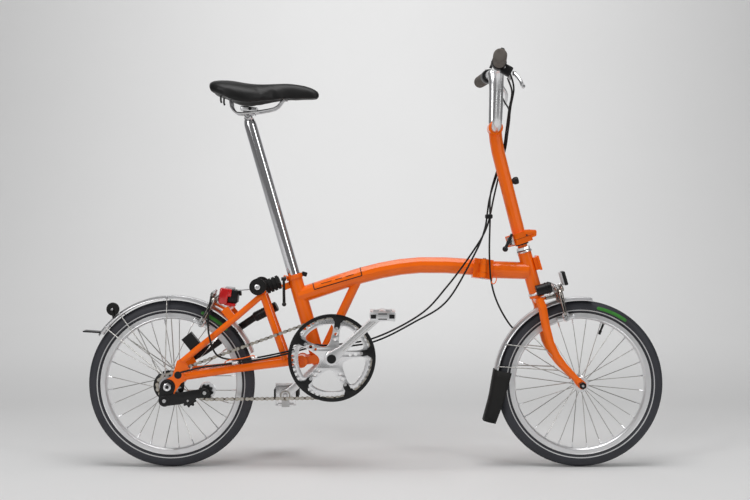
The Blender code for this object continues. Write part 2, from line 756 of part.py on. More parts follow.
STAY_PLATE_Y = 0.0246
CHAINSTAY = (
    (-0.1900, 0.0352, 0.2716),
    (-0.2180, 0.0352, 0.2690),
    (-0.3000, 0.0358, 0.2590),
    (-0.3720, 0.0375, 0.2496),
    (-0.4350, 0.0520, 0.2415),
    (-0.4720, 0.0608, 0.2370),
)
CHAINSTAY_R = 0.0098
SEATSTAY = (
    (-0.2816, 0.0290, 0.4380),
    (-0.3500, 0.0400, 0.3795),
    (-0.4770, 0.0605, 0.2750),
)
SEATSTAY_R = 0.0078
REAR_STRUT = ((-0.2790, 0.0290, 0.4380), (-0.2215, 0.0352, 0.2760))
REAR_STRUT_R = 0.0082
REAR_DROPOUT_Y = 0.0585
REAR_DROPOUT_THICK = 0.0050


def side_points(rows, side):
    return [Vector((x, side * y, z)) for x, y, z in rows]


def rear_side(side):
    """One side of the rear triangle: lug, chainstay, seatstay, strut and dropout."""
    start = side * STAY_PLATE_Y
    end = side * (STAY_PLATE_Y + 0.0070)
    lug = across(REAR_PIVOT, min(start, end), max(start, end), 0.0160, 20)
    frame = joined(lug, tube(side_points(CHAINSTAY, side), CHAINSTAY_R, resolution=3))
    frame = joined(frame, tube(side_points(REAR_STRUT, side), REAR_STRUT_R, resolution=3))
    frame = joined(frame, tube(side_points(SEATSTAY, side), SEATSTAY_R, resolution=3))
    near = side * REAR_DROPOUT_Y
    far = side * (REAR_DROPOUT_Y + REAR_DROPOUT_THICK)
    plate = outline(
        (
            (-0.4560, 0.2340),
            (-0.4620, 0.2600),
            (-0.4760, 0.2840),
            (-0.4900, 0.2760),
            (-0.5020, 0.2380),
            (-0.5280, 0.2240),
            (-0.5310, 0.1960),
            (-0.5240, 0.1680),
            (-0.5060, 0.1680),
            (-0.4960, 0.1960),
            (-0.4800, 0.2200),
        ),
        min(near, far),
        max(near, far),
    )
    return joined(frame, plate)


def make_rear_frame():
    frame = rear_side(-1.0)
    other = rear_side(1.0)
    bridge_at = Vector((-0.2830, 0.0, 0.4400))
    frame = joined(frame, across(bridge_at, -0.0300, 0.0300, 0.0100, 16), other)
    head = box(Vector((-0.2860, 0.0, 0.4530)), (0.0200, 0.0340, 0.0320), math.radians(22.0))
    frame = joined(frame, head)
    frame = joined(frame, across(ROLLER_AXLE, -0.0560, 0.0560, 0.0040, 12))
    brake_bridge = on_wheel(REAR_AXLE, 0.2400, REAR_BRAKE_ANGLE - 11.0)
    frame = joined(frame, across(brake_bridge, -0.0440, 0.0440, 0.0055, 12))
    frame = joined(frame, brake_mount(REAR_AXLE, REAR_BRAKE_ANGLE, -0.0065, -0.0450))
    for side in (-1.0, 1.0):
        lug = box(brake_bridge + Vector((0.0040, side * 0.0420, -0.0110)), (0.0200, 0.0070, 0.0400), 0.7)
        frame = joined(frame, lug)
    spindle = across(REAR_PIVOT, -0.0330, 0.0330, 0.0055, 16)
    frame = joined(frame, spindle)
    for side in (-1.0, 1.0):
        hole = across(REAR_AXLE, min(side * 0.05, side * 0.07), max(side * 0.05, side * 0.07), 0.0058, 12)
        frame = cut(frame, hole)
    finish(frame, "rear_frame", ORANGE, REAR_FRAME)


BLOCK_LEAN = math.radians(22.0)
BLOCK_DIRECTION = Vector((math.cos(BLOCK_LEAN), 0.0, math.sin(BLOCK_LEAN)))
BLOCK_START = Vector((-0.2748, 0.0, 0.4560))
BLOCK_LENGTH = 0.0400


def make_suspension_block():
    """The ribbed rubber spring between the rear frame and the seat tube."""
    ribs = 4
    pitch = BLOCK_LENGTH / ribs
    block = cylinder(BLOCK_START, BLOCK_START + BLOCK_DIRECTION * BLOCK_LENGTH, 0.0145, 12)
    for k in range(ribs):
        low = BLOCK_START + BLOCK_DIRECTION * (pitch * k + 0.0015)
        high = BLOCK_START + BLOCK_DIRECTION * (pitch * k + 0.0080)
        block = joined(block, cylinder(low, high, 0.0180, 12))
    finish(block, "suspension_block", RUBBER, REAR_FRAME)


def make_rollers():
    """Two rollers on the rear frame's top and one on the mudguard."""
    for side, name, parent in ((-1.0, "right_roller", ROLLER_RIGHT), (1.0, "left_roller", ROLLER_LEFT)):
        half = 0.0070
        profile = [
            (0.0044, -half),
            (0.0190, -half),
            (0.0210, -half + 0.0020),
            (0.0210, half - 0.0020),
            (0.0190, half),
            (0.0044, half),
        ]
        centre = ROLLER_AXLE + Vector((0.0, side * 0.0470, 0.0))
        finish(turned(centre, profile, 24), name, RUBBER, parent)
    profile = [(0.0034, -0.0060), (0.0150, -0.0060), (0.0170, 0.0), (0.0150, 0.0060), (0.0034, 0.0060)]
    finish(turned(MUDGUARD_ROLLER_AXLE, profile, 20), "mudguard_roller", RUBBER, ROLLER_BACK)


# ------------------------------------------------------------------ mudguards

MUDGUARD_HALF = 0.0230
MUDGUARD_THICK = 0.0016


def mudguard_blade(axle, crown_r, start, end, steps):
    """A curved strip over the tyre, thickened inwards."""
    shape = bmesh.new()
    across_count = 4
    rows = []
    for k in range(steps + 1):
        angle = start + (end - start) * k / steps
        row = []
        for j in range(across_count + 1):
            share = -1.0 + 2.0 * j / across_count
            drop = 0.0055 * share * share
            row.append(shape.verts.new(on_wheel(axle, crown_r - drop, angle, MUDGUARD_HALF * share)))
        rows.append(row)
    for row, following in zip(rows, rows[1:]):
        for j in range(across_count):
            shape.faces.new((row[j], row[j + 1], following[j + 1], following[j]))
    mesh = bpy.data.meshes.new("blade")
    shape.to_mesh(mesh)
    shape.free()
    holder = solid("blade", mesh)
    thick = holder.modifiers.new("thick", "SOLIDIFY")
    thick.thickness = MUDGUARD_THICK
    thick.offset = 0.0
    return baked(holder)


def brake_mount(axle, angle, near, far):
    """The plate that carries a caliper's two pivots, along the wheel's tangent from them."""
    turn = math.radians(angle)
    tangent = Vector((-math.sin(turn), 0.0, math.cos(turn)))
    radial = Vector((math.cos(turn), 0.0, math.sin(turn)))
    centre = on_wheel(axle, 0.2318, angle) + tangent * (near + far) / 2.0
    return framed_box(centre, (0.0065, 0.0260, abs(far - near)), radial, tangent)


def stay(start, end):
    return cylinder(start, end, 0.0014, 4)


def blade_edge(axle, crown_r, angle, side):
    """A point in the middle of the blade's edge, where a stay is riveted."""
    return on_wheel(axle, crown_r - 0.0050, angle, side * (MUDGUARD_HALF - 0.0012))


def make_rear_mudguard():
    crown = 0.2240
    guard = mudguard_blade(REAR_AXLE, crown, 21.0, 146.0, 22)
    root = on_wheel(REAR_AXLE, crown - 0.0004, 145.5)
    flap = outline(
        (
            (root.x + 0.0040, root.z + 0.0050),
            (root.x + 0.0040, root.z + 0.0020),
            (-0.7376, 0.3430),
            (-0.7383, 0.3465),
        ),
        -0.0170,
        0.0170,
    )
    guard = joined(guard, flap, across(MUDGUARD_ROLLER_AXLE, -0.0125, 0.0125, 0.0030, 10))
    for side in (-1.0, 1.0):
        foot = on_wheel(REAR_AXLE, crown - 0.0015, 131.5, side * 0.0100)
        top = MUDGUARD_ROLLER_AXLE + Vector((-0.0010, side * 0.0100, 0.0010))
        guard = joined(guard, cylinder(foot, top, 0.0028, 8))
    for side in (-1.0, 1.0):
        foot = Vector((REAR_AXLE.x - 0.0060, side * 0.0665, REAR_AXLE.z + 0.0260))
        for angle in (139.0, 126.0, 92.5):
            top = blade_edge(REAR_AXLE, crown, angle, side)
            start = foot + (top - foot).normalized() * 0.0030
            guard = joined(guard, stay(start, top))
    finish(guard, "rear_mudguard", SILVER, REAR_FRAME)


FRONT_STAYS = (
    (152.0, (0.4400, 0.0400, 0.3000)),
    (168.0, (0.4690, 0.0400, 0.2490)),
)


def make_front_mudguard():
    crown = 0.2200
    guard = joined(mudguard_blade(FRONT_AXLE, crown, 82.0, 173.0, 18), make_flap())
    for angle, place in FRONT_STAYS:
        for side in (-1.0, 1.0):
            end = Vector((place[0], side * place[1], place[2]))
            guard = joined(guard, stay(blade_edge(FRONT_AXLE, crown, angle, side), end))
    finish(guard, "front_mudguard", SILVER, FORK)


def make_flap():
    """The rubber flap below the front mudguard: a back and two side wings."""
    shape = bmesh.new()
    rows = []
    for z, back_x, wing in ((0.2480, 0.3085, 0.0420), (0.1780, 0.2965, 0.0350), (0.1180, 0.2805, 0.0290)):
        half = 0.0270
        plan = (
            (back_x + wing, -half - 0.0040),
            (back_x + 0.0080, -half),
            (back_x, -half * 0.6),
            (back_x, half * 0.6),
            (back_x + 0.0080, half),
            (back_x + wing, half + 0.0040),
        )
        rows.append([shape.verts.new((x, y, z - (x - back_x) * 0.18)) for x, y in plan])
    for row, following in zip(rows, rows[1:]):
        for j in range(len(row) - 1):
            shape.faces.new((row[j], row[j + 1], following[j + 1], following[j]))
    mesh = bpy.data.meshes.new("flap")
    shape.to_mesh(mesh)
    shape.free()
    holder = solid("flap", mesh)
    thick = holder.modifiers.new("thick", "SOLIDIFY")
    thick.thickness = 0.0020
    thick.offset = 0.0
    return baked(holder)


# ------------------------------------------------------------------ brakes


SHOE_R = 0.1725
SHOE_POST_R = 0.1735
SHOE_Y = 0.0195


def brake_arm(axle, angle, side):
    """One caliper arm with its pad, in the plane across the wheel at this angle."""
    rows = (
        (BRAKE_PIVOT_R, BRAKE_PIVOT_Y),
        (BRAKE_PIVOT_R, 0.0200),
        (0.2370, 0.0290),
        (0.2200, 0.0325),
        (0.1950, 0.0325),
        (0.1760, 0.0300),
    )
    points = [on_wheel(axle, radius, angle, side * y) for radius, y in rows]
    arm = tube(points, 0.0040, resolution=1)
    turn = math.radians(angle)
    tangent = Vector((-math.sin(turn), 0.0, math.cos(turn)))
    radial = Vector((math.cos(turn), 0.0, math.sin(turn)))
    root = on_wheel(axle, BRAKE_PIVOT_R, angle, side * BRAKE_PIVOT_Y)
    arm = joined(arm, cylinder(root - tangent * 0.0050, root + tangent * 0.0050, 0.0062, 12))
    pad_centre = on_wheel(axle, SHOE_R, angle, side * SHOE_Y)
    size = (0.0090, 0.0100, 0.0420)
    pad = framed_box(pad_centre, size, radial, tangent)
    ends = sorted((side * 0.0200, side * 0.0330))
    post = across(on_wheel(axle, SHOE_POST_R, angle), ends[0], ends[1], 0.0035, 10)
    return joined(arm, post, pad)


def make_brakes():
    for name, axle, angle, right, left in (
        ("rear", REAR_AXLE, REAR_BRAKE_ANGLE, REAR_ARM_RIGHT, REAR_ARM_LEFT),
        ("front", FRONT_AXLE, FRONT_BRAKE_ANGLE, FRONT_ARM_RIGHT, FRONT_ARM_LEFT),
    ):
        finish(brake_arm(axle, angle, -1.0), name + "_brake_arm_right", SILVER, right)
        finish(brake_arm(axle, angle, 1.0), name + "_brake_arm_left", SILVER, left)


# ------------------------------------------------------------------ lamp, pump and tensioner


def make_rear_reflector():
    """The red reflector behind the roller bridge, with its housing and bracket."""
    lens = box(Vector((-0.3790, 0.0, 0.4350)), (0.0220, 0.0560, 0.0420), math.radians(-8.0))
    housing = box(Vector((-0.3560, 0.0, 0.4340)), (0.0260, 0.0420, 0.0340), math.radians(-8.0))
    arm = box(Vector((-0.3270, 0.0, 0.4497)), (0.0440, 0.0140, 0.0030), math.radians(5.0))
    finish(joined(lens, housing, arm), "rear_reflector", RED, REAR_FRAME)


PUMP_TIP = Vector((-0.4795, 0.0745, 0.2581))
PUMP_STEP = Vector((-0.3091, 0.0582, 0.3744))
PUMP_END = Vector((-0.2503, 0.0525, 0.4046))
PUMP_BODY_R = 0.0095
PUMP_HANDLE_R = 0.0130


def make_pump():
    """The frame pump, clipped outside the left stays: a tapered tip, a body and a thicker handle."""
    along = (PUMP_STEP - PUMP_TIP).normalized()
    shoulder = PUMP_TIP + along * 0.0450
    tip = cone(PUMP_TIP, shoulder + along * 0.0010, 0.0040, PUMP_BODY_R, 14)
    body = cylinder(shoulder, PUMP_STEP + along * 0.0020, PUMP_BODY_R * 0.98, 14)
    handle = cylinder(PUMP_STEP, PUMP_END, PUMP_HANDLE_R, 16)
    finish(joined(body, tip, handle), "pump", BLACK, REAR_FRAME)


def make_stay_block():
    """The black block on the inner side of the right seatstay, on its small clip."""
    centre = Vector((-0.4585, -0.0360, 0.3220))
    lean = math.atan2(SEATSTAY[1][2] - SEATSTAY[2][2], SEATSTAY[1][0] - SEATSTAY[2][0])
    block = box(centre, (0.0300, 0.0190, 0.0380), lean)
    clip = box(centre + Vector((0.0100, -0.0080, -0.0190)), (0.0100, 0.0030, 0.0140), lean)
    finish(joined(block, clip), "stay_block", BLACK, REAR_FRAME)


def jockey(centre):
    radius = pitch_radius(JOCKEY_TEETH) - CHAIN_R - 0.0012
    profile = [(0.0034, -0.0020), (radius, -0.0012), (radius, 0.0012), (0.0034, 0.0020)]
    return turned(centre, profile, 16)


def make_tensioner():
    """The sprung chain tensioner below the right dropout, and its two jockey wheels."""
    front = (JOCKEY_FRONT.x, JOCKEY_FRONT.z)
    rear = (JOCKEY_REAR.x, JOCKEY_REAR.z)
    root = (TENSIONER_PIVOT.x, TENSIONER_PIVOT.z)
    out = -0.0640
    arm = outline(bar_outline(root, 0.0130, rear, 0.0100), out - 0.0030, out)
    arm = joined(arm, outline(bar_outline(rear, 0.0098, front, 0.0090), out - 0.0028, out - 0.0002))
    for place in (JOCKEY_REAR, JOCKEY_FRONT):
        arm = joined(arm, across(place, out - 0.0005, CHAIN_Y + 0.0030, 0.0030, 10))
    arm = joined(arm, across(TENSIONER_PIVOT, out - 0.0080, out - 0.0005, 0.0100, 16))
    finish(arm, "tensioner_arm", BLACK, TENSIONER)
    finish(jockey(JOCKEY_FRONT), "front_jockey_wheel", BLACK, JOCKEY_A)
    finish(jockey(JOCKEY_REAR), "rear_jockey_wheel", BLACK, JOCKEY_B)


# ------------------------------------------------------------------ chain and chainset


def belt(circles, spacing):
    """Points along a belt round circles of (centre, radius, turn), all on one plane.

    turn is 1 where the belt goes round anticlockwise, seen with +X right and +Z up.
    """
    count = len(circles)
    tangents = []
    for index in range(count):
        first, first_r, first_turn = circles[index]
        second, second_r, second_turn = circles[(index + 1) % count]
        dx = second.x - first.x
        dz = second.z - first.z
        span = math.hypot(dx, dz)
        heading = math.atan2(dz, dx)
        lean = math.asin((first_turn * first_r - second_turn * second_r) / span)
        normal = heading + lean - math.pi / 2.0
        tangents.append(normal)
    points = []
    for index in range(count):
        centre, radius, turn = circles[index]
        arrive = tangents[index - 1]
        leave = tangents[index]
        sweep = (leave - arrive) * turn % (2.0 * math.pi)
        steps = max(2, math.ceil(sweep / 0.40), round(sweep * radius / spacing))
        for step in range(steps + 1):
            angle = arrive + turn * sweep * step / steps
            x = centre.x + turn * radius * math.cos(angle)
            z = centre.z + turn * radius * math.sin(angle)
            points.append(Vector((x, CHAIN_Y, z)))
        following = circles[(index + 1) % count]
        end = Vector((
            following[0].x + following[2] * following[1] * math.cos(leave),
            CHAIN_Y,
            following[0].z + following[2] * following[1] * math.sin(leave),
        ))
        start = points[-1]
        runs = max(1, round((end - start).length / (spacing * 4.0)))
        for step in range(1, runs):
            points.append(start.lerp(end, step / runs))
    return points


def make_chain():
    ring = pitch_radius(CHAINRING_TEETH)
    cog = pitch_radius(SPROCKET_TEETH)
    guide = pitch_radius(JOCKEY_TEETH)
    path = belt(
        (
            (BRACKET, ring, 1.0),
            (REAR_AXLE, cog, 1.0),
            (JOCKEY_REAR, guide, -1.0),
            (JOCKEY_FRONT, guide, 1.0),
        ),
        0.0170,
    )
    finish(tube(path, CHAIN_R, closed=True, resolution=1), "chain", STEEL, REAR_FRAME)


CRANK_INNER_Y = 0.0660
CRANK_OUTER_Y = 0.0790


SPIDER_ANGLE = 8.6
ARMS = 5


def polar(centre, radius, degrees):
    turn = math.radians(degrees)
    return (centre[0] + radius * math.cos(turn), centre[1] + radius * math.sin(turn))


def spider_window(centre, k):
    """The opening between two spider arms: wide at the rim, narrow at the hub."""
    middle = SPIDER_ANGLE + 360.0 * (k + 0.5) / ARMS
    points = [polar(centre, 0.0850, middle + swing) for swing in (-25.0, -12.5, 0.0, 12.5, 25.0)]
    points += [polar(centre, radius, middle + swing) for radius, swing in ((0.0780, 29.0), (0.0660, 28.5))]
    points += [polar(centre, radius, middle + swing) for radius, swing in ((0.0370, 17.0), (0.0310, 0.0))]
    points += [polar(centre, radius, middle - swing) for radius, swing in ((0.0370, 17.0), (0.0660, 28.5))]
    points.append(polar(centre, 0.0780, middle - 29.0))
    return points


def make_chainset():
    centre = (BRACKET.x, BRACKET.z)
    ring_r = pitch_radius(CHAINRING_TEETH) - CHAIN_R - 0.0010
    windows = [spider_window(centre, k) for k in range(ARMS)]
    ring = outline(circle(centre, ring_r, 48), CHAIN_Y - 0.0020, CHAIN_Y + 0.0020, windows)
    ring = joined(ring, across(BRACKET, -CRANK_INNER_Y - 0.0010, CHAIN_Y + 0.0040, 0.0190, 20))
    tip = (CRANK_END.x, CRANK_END.z)
    arm = outline(bar_outline(centre, 0.0175, tip, 0.0125, 8), -CRANK_OUTER_Y, -CRANK_INNER_Y)
    cap = across(BRACKET, -CRANK_OUTER_Y - 0.0020, -CRANK_OUTER_Y + 0.0010, 0.0115, 16)
    finish(joined(ring, arm, cap), "right_crank_and_chainring", SILVER, CRANKSET)


def guard_opening(centre):
    """The guard's inner edge: a circle with a round-ended tab over each spider arm."""
    points = []
    for k in range(ARMS):
        middle = SPIDER_ANGLE + 360.0 * k / ARMS
        for radius, swing in ((0.1002, -9.0), (0.0900, -5.6), (0.0780, -5.2), (0.0725, -3.2)):
            points.append(polar(centre, radius, middle + swing))
        for radius, swing in ((0.0712, 0.0), (0.0725, 3.2), (0.0780, 5.2), (0.0900, 5.6), (0.1002, 9.0)):
            points.append(polar(centre, radius, middle + swing))
        for swing in (18.0, 27.0, 36.0, 45.0, 54.0):
            points.append(polar(centre, 0.1002, middle + swing))
    return points


def make_chain_guard():
    """The black ring outside the chainring."""
    centre = (BRACKET.x, BRACKET.z)
    face = CHAIN_Y - CHAIN_R - 0.0008
    guard = outline(circle(centre, 0.1100, 48), face - 0.0020, face, (guard_opening(centre),))
    finish(guard, "chain_guard", BLACK, CRANKSET)


def make_left_crank():
    centre = (BRACKET.x, BRACKET.z)
    tip = (LEFT_CRANK_END.x, LEFT_CRANK_END.z)
    arm = outline(bar_outline(centre, 0.0175, tip, 0.0125, 8), CRANK_INNER_Y, CRANK_OUTER_Y)
    start = CHAIN_Y + 0.0040 + GAP
    axle = across(BRACKET, start, CRANK_INNER_Y + 0.0010, 0.0085, 16)
    boss = across(BRACKET, 0.0480, CRANK_INNER_Y + 0.0010, 0.0150, 16)
    finish(joined(arm, axle, boss), "left_crank_and_axle", SILVER, CRANKSET)


def make_pedals():
    near = -0.0850
    far = -0.1750
    centre = CRANK_END
    cage = across(centre, far, near, 0.0085, 14)
    for side in (-1.0, 1.0):
        rail = box(centre + Vector((side * 0.0290, (near + far) / 2.0, 0.0)), (0.0040, 0.0900, 0.0240))
        cage = joined(cage, rail)
    for y in (near - 0.0040, far + 0.0040):
        cage = joined(cage, box(centre + Vector((0.0, y, 0.0)), (0.0600, 0.0070, 0.0200)))
    cage = joined(cage, across(centre, near - 0.0010, -CRANK_OUTER_Y - GAP, 0.0065, 12))
    finish(cage, "right_pedal", SILVER, PEDAL_RIGHT)

    axle = LEFT_CRANK_END
    bearing = across(axle, CRANK_OUTER_Y + GAP, 0.0836, 0.0120, 16)
    hanger = box(axle + Vector((0.0, 0.0818, -0.0160)), (0.0200, 0.0036, 0.0320))
    bearing = joined(bearing, hanger)
    finish(bearing, "left_pedal_bearing", STEEL, PEDAL_BEARING)
    plate = box(axle + Vector((0.0, 0.0862, 0.0)), (0.0540, 0.0044, 0.0600))
    deck = box(axle + Vector((0.0, 0.1270, 0.0)), (0.0440, 0.0800, 0.0120))
    for side in (-1.0, 1.0):
        tread = box(axle + Vector((side * 0.0260, 0.1270, 0.0)), (0.0110, 0.0780, 0.0280))
        deck = joined(deck, tread)
    finish(joined(plate, deck), "left_pedal", SILVER, PEDAL_LEFT)


def make_sprocket():
    radius = pitch_radius(SPROCKET_TEETH) - CHAIN_R - 0.0012
    y = CHAIN_Y
    profile = [
        (0.0070, 0.0185),
        (0.0190, 0.0185),
        (0.0190, 0.0016),
        (radius, 0.0012),
        (radius, -0.0012),
        (0.0150, -0.0016),
        (0.0070, -0.0016),
    ]
    flipped_profile = [(r, -offset) for r, offset in profile]
    item = turned(Vector((REAR_AXLE.x, y, REAR_AXLE.z)), flipped_profile, 20)
    finish(item, "rear_sprocket", STEEL, SPROCKET)


# ------------------------------------------------------------------ front frame and fork


def along_head(distance, forward=0.0, y=0.0):
    """A point at a distance up the steering axis, moved forward of it and sideways."""
    return HEAD_POINT + HEAD_UP * distance + HEAD_FORWARD * forward + Vector((0.0, y, 0.0))


def make_front_frame():
    head = cylinder(along_head(HEAD_TUBE_LOW), along_head(HEAD_TUBE_HIGH), HEAD_TUBE_R, 24)
    start = Vector((0.2900, 0.0, 0.5020))
    end = Vector((0.3960, 0.0, 0.4985))
    frame = joined(head, cylinder(start, end, 0.0218, 24))
    frame = joined(frame, hinge_half(1.0))
    block = framed_box(along_head(0.0650, 0.0205), (0.0100, 0.0300, 0.0330), HEAD_FORWARD, HEAD_UP)
    plate = framed_box(along_head(0.0650, 0.0275), (0.0050, 0.0460, 0.0370), HEAD_FORWARD, HEAD_UP)
    frame = joined(frame, block, plate)
    room = cylinder(along_head(HEAD_TUBE_LOW - 0.02), along_head(HEAD_TUBE_HIGH + 0.02), 0.0140, 24)
    finish(cut(frame, room), "front_frame", ORANGE, FRONT_FRAME)


def make_headset():
    """The upper bearing cup and lock ring, which the steerer turns in."""
    low = HEAD_TUBE_HIGH + GAP
    ring = cylinder(along_head(low), along_head(low + 0.0070), 0.0200, 20)
    ring = joined(ring, cylinder(along_head(low + 0.0060), along_head(low + 0.0150), 0.0175, 20))
    room = cylinder(along_head(low - 0.01), along_head(low + 0.03), STEERER_R + RUNNING, 24)
    finish(cut(ring, room), "headset", SILVER, FRONT_FRAME)


FORK_BLADE = (
    (0.4190, 0.0350, 0.4280, 1.00),
    (0.4265, 0.0400, 0.4080, 1.00),
    (0.4345, 0.0410, 0.3620, 0.98),
    (0.4460, 0.0412, 0.3180, 0.94),
    (0.4620, 0.0414, 0.2850, 0.88),
    (0.4800, 0.0416, 0.2605, 0.82),
    (0.5010, 0.0418, 0.2385, 0.76),
    (0.5180, 0.0420, 0.2200, 0.70),
)
FORK_BLADE_R = 0.0115
FRONT_DROPOUT_Y = 0.0385


def make_fork():
    fork = cylinder(along_head(-0.0200), along_head(STEM_PARTING - 0.0150), STEERER_R, 24)
    race = cylinder(along_head(-0.0190), along_head(HEAD_TUBE_LOW - RUNNING), 0.0190, 20)
    fork = joined(fork, race)
    crown_at = along_head(-0.0265)
    fork = joined(fork, across(crown_at, -0.0400, 0.0400, 0.0095, 16))
    fork = joined(fork, brake_mount(FRONT_AXLE, FRONT_BRAKE_ANGLE, 0.0065, 0.0520))
    for side in (-1.0, 1.0):
        points = [Vector((x, side * y, z)) for x, y, z, _ in FORK_BLADE]
        sizes = [size for _, _, _, size in FORK_BLADE]
        fork = joined(fork, tube(points, FORK_BLADE_R, resolution=2, radii=sizes))
        low = min(side * FRONT_DROPOUT_Y, side * (FRONT_DROPOUT_Y + 0.0045))
        tip = (FRONT_AXLE.x, FRONT_AXLE.z)
        root = (0.5140, 0.2240)
        fork = joined(fork, outline(bar_outline(root, 0.0090, tip, 0.0105, 6), low, low + 0.0045))
    for side in (-1.0, 1.0):
        hole = across(FRONT_AXLE, min(side * 0.03, side * 0.06), max(side * 0.03, side * 0.06), 0.0053, 12)
        fork = cut(fork, hole)
    finish(fork, "fork", ORANGE, FORK)


# ------------------------------------------------------------------ stem hinge, stem and bar


def stem_casting(low, high):
    """One half of the stem hinge: a diagonal plate between two heights off the parting face."""
    centre = STEM_PLANE_POINT + HEAD_UP * (low + high) / 2.0
    size = (0.0560, 0.0400, high - low)
    plate = framed_box(centre + STEM_HINGE_SIDE * -0.0050, size, STEM_HINGE_SIDE, HEAD_UP)
    return plate


def stem_pin(low, high, radius, sides):
    """A cylinder on the stem hinge's axis between two distances from the hinge's middle."""
    start = STEM_HINGE_POINT + STEM_HINGE_AXIS * low
    return cylinder(start, STEM_HINGE_POINT + STEM_HINGE_AXIS * high, radius, sides)


def stem_knuckle(spans, toward):
    """Knuckles round the stem hinge pin, with webs to the casting above or below."""
    made = None
    for start, end in spans:
        a = STEM_HINGE_POINT + STEM_HINGE_AXIS * start
        b = STEM_HINGE_POINT + STEM_HINGE_AXIS * end
        barrel = cylinder(a, b, 0.0068, 14)
        middle = (a + b) / 2.0 - STEM_HINGE_SIDE * 0.0093 + HEAD_UP * toward * 0.0039
        web = framed_box(middle, (0.0157, (end - start) * 0.93, 0.0061), STEM_HINGE_SIDE, HEAD_UP)
        piece = joined(barrel, web)
        made = piece if made is None else joined(made, piece)
    return made


STEM_TUBE_POINTS = (
    (0.3720, 0.5930),
    (0.3450, 0.6990),
    (0.3190, 0.8020),
    (0.3140, 0.8300),
    (0.3115, 0.8560),
)
STEM_TUBE_R = 0.0168


def make_stem():
    base = stem_casting(-0.0140, -GAP)
    base = joined(base, stem_knuckle(((-0.0230, -0.0105), (0.0105, 0.0230)), -1.0))
    room = stem_pin(-0.0102, 0.0102, 0.0077, 14)
    base = cut(base, room)
    pin = stem_pin(-0.0220, 0.0220, 0.0028, 12)
    base = joined(base, pin)
    finish(base, "stem_base", ORANGE, FORK)

    upper = stem_casting(GAP, 0.0140)
    for start, end in ((-0.0250, -0.0095), (0.0095, 0.0250)):
        room = stem_pin(start, end, 0.0076, 16)
        upper = cut(upper, room)
    upper = joined(upper, stem_knuckle(((-0.0096, 0.0096),), 1.0))
    bore = stem_pin(-0.0300, 0.0300, 0.0032, 12)
    upper = cut(upper, bore)
    points = [Vector((x, 0.0, z)) for x, z in STEM_TUBE_POINTS]
    upper = joined(upper, tube(points, STEM_TUBE_R, resolution=4))
    upper = joined(upper, across(BAR_CENTRE, -0.0220, 0.0220, 0.0185, 20))
    nipple_root = Vector((0.3480, 0.0, 0.7245))
    upper = joined(upper, cylinder(nipple_root, nipple_root + Vector((0.0220, 0.0, 0.0055)), 0.0060, 12))
    upper = cut(upper, across(BAR_CENTRE, -0.0300, 0.0300, BAR_R + GAP, 20))
    finish(upper, "stem", ORANGE, STEM)


def make_stem_clamp():
    """The stem hinge's clamp: a plate, stud and lever behind the castings."""
    outward = -STEM_HINGE_SIDE
    reach = Vector((0.4050, 0.0, 0.9143))
    plate = framed_box(STEM_CLAMP_PIVOT, (0.0060, 0.0220, 0.0240), STEM_HINGE_SIDE, HEAD_UP)
    stud = cylinder(STEM_CLAMP_PIVOT, STEM_CLAMP_PIVOT + outward * 0.0130, 0.0045, 12)
    root = STEM_CLAMP_PIVOT + outward * 0.0110
    knob_at = root - reach * 0.0190
    lever = cone(knob_at, root + reach * 0.0230, 0.0048, 0.0036, 10)
    finish(joined(plate, stud, lever, ball(knob_at, 0.0072)), "stem_hinge_clamp", BLACK, STEM_CLAMP)


BAR_POINTS = (
    (0.3110, 0.0000, 0.8620),
    (0.3110, 0.0260, 0.8620),
    (0.3112, 0.0400, 0.8680),
    (0.3118, 0.0480, 0.8820),
    (0.3130, 0.0530, 0.9200),
    (0.3140, 0.0580, 0.9640),
    (0.3140, 0.0650, 0.9900),
    (0.3125, 0.0780, 1.0060),
    (0.3100, 0.0980, 1.0110),
    (0.2960, 0.2590, 1.0115),
)


def bar_at(y):
    """The bar's centre on its straight outer part, at a distance from the middle."""
    start = Vector(BAR_POINTS[-2])
    end = Vector(BAR_POINTS[-1])
    return start.lerp(end, (y - start.y) / (end.y - start.y))


def make_bar():
    right = [flipped(Vector(point)) for point in reversed(BAR_POINTS[1:])]
    left = [Vector(point) for point in BAR_POINTS]
    finish(tube(right + left, BAR_R, resolution=3), "handlebar", SILVER, STEM)

    def grip():
        start = flipped(bar_at(0.1560))
        end = flipped(bar_at(GRIP_END_Y))
        sleeve = cylinder(start, end, 0.0165, 20)
        past = end + (start - end).normalized() * 0.0060
        outward = (end - start).normalized()
        room = cylinder(start - outward * 0.0100, past + outward * 0.0052, BAR_R + GAP, 20)
        return cut(sleeve, room)

    right_grip, left_grip = mirrored(grip)
    finish(right_grip, "right_grip", FOAM, STEM)
    finish(left_grip, "left_grip", FOAM, STEM)


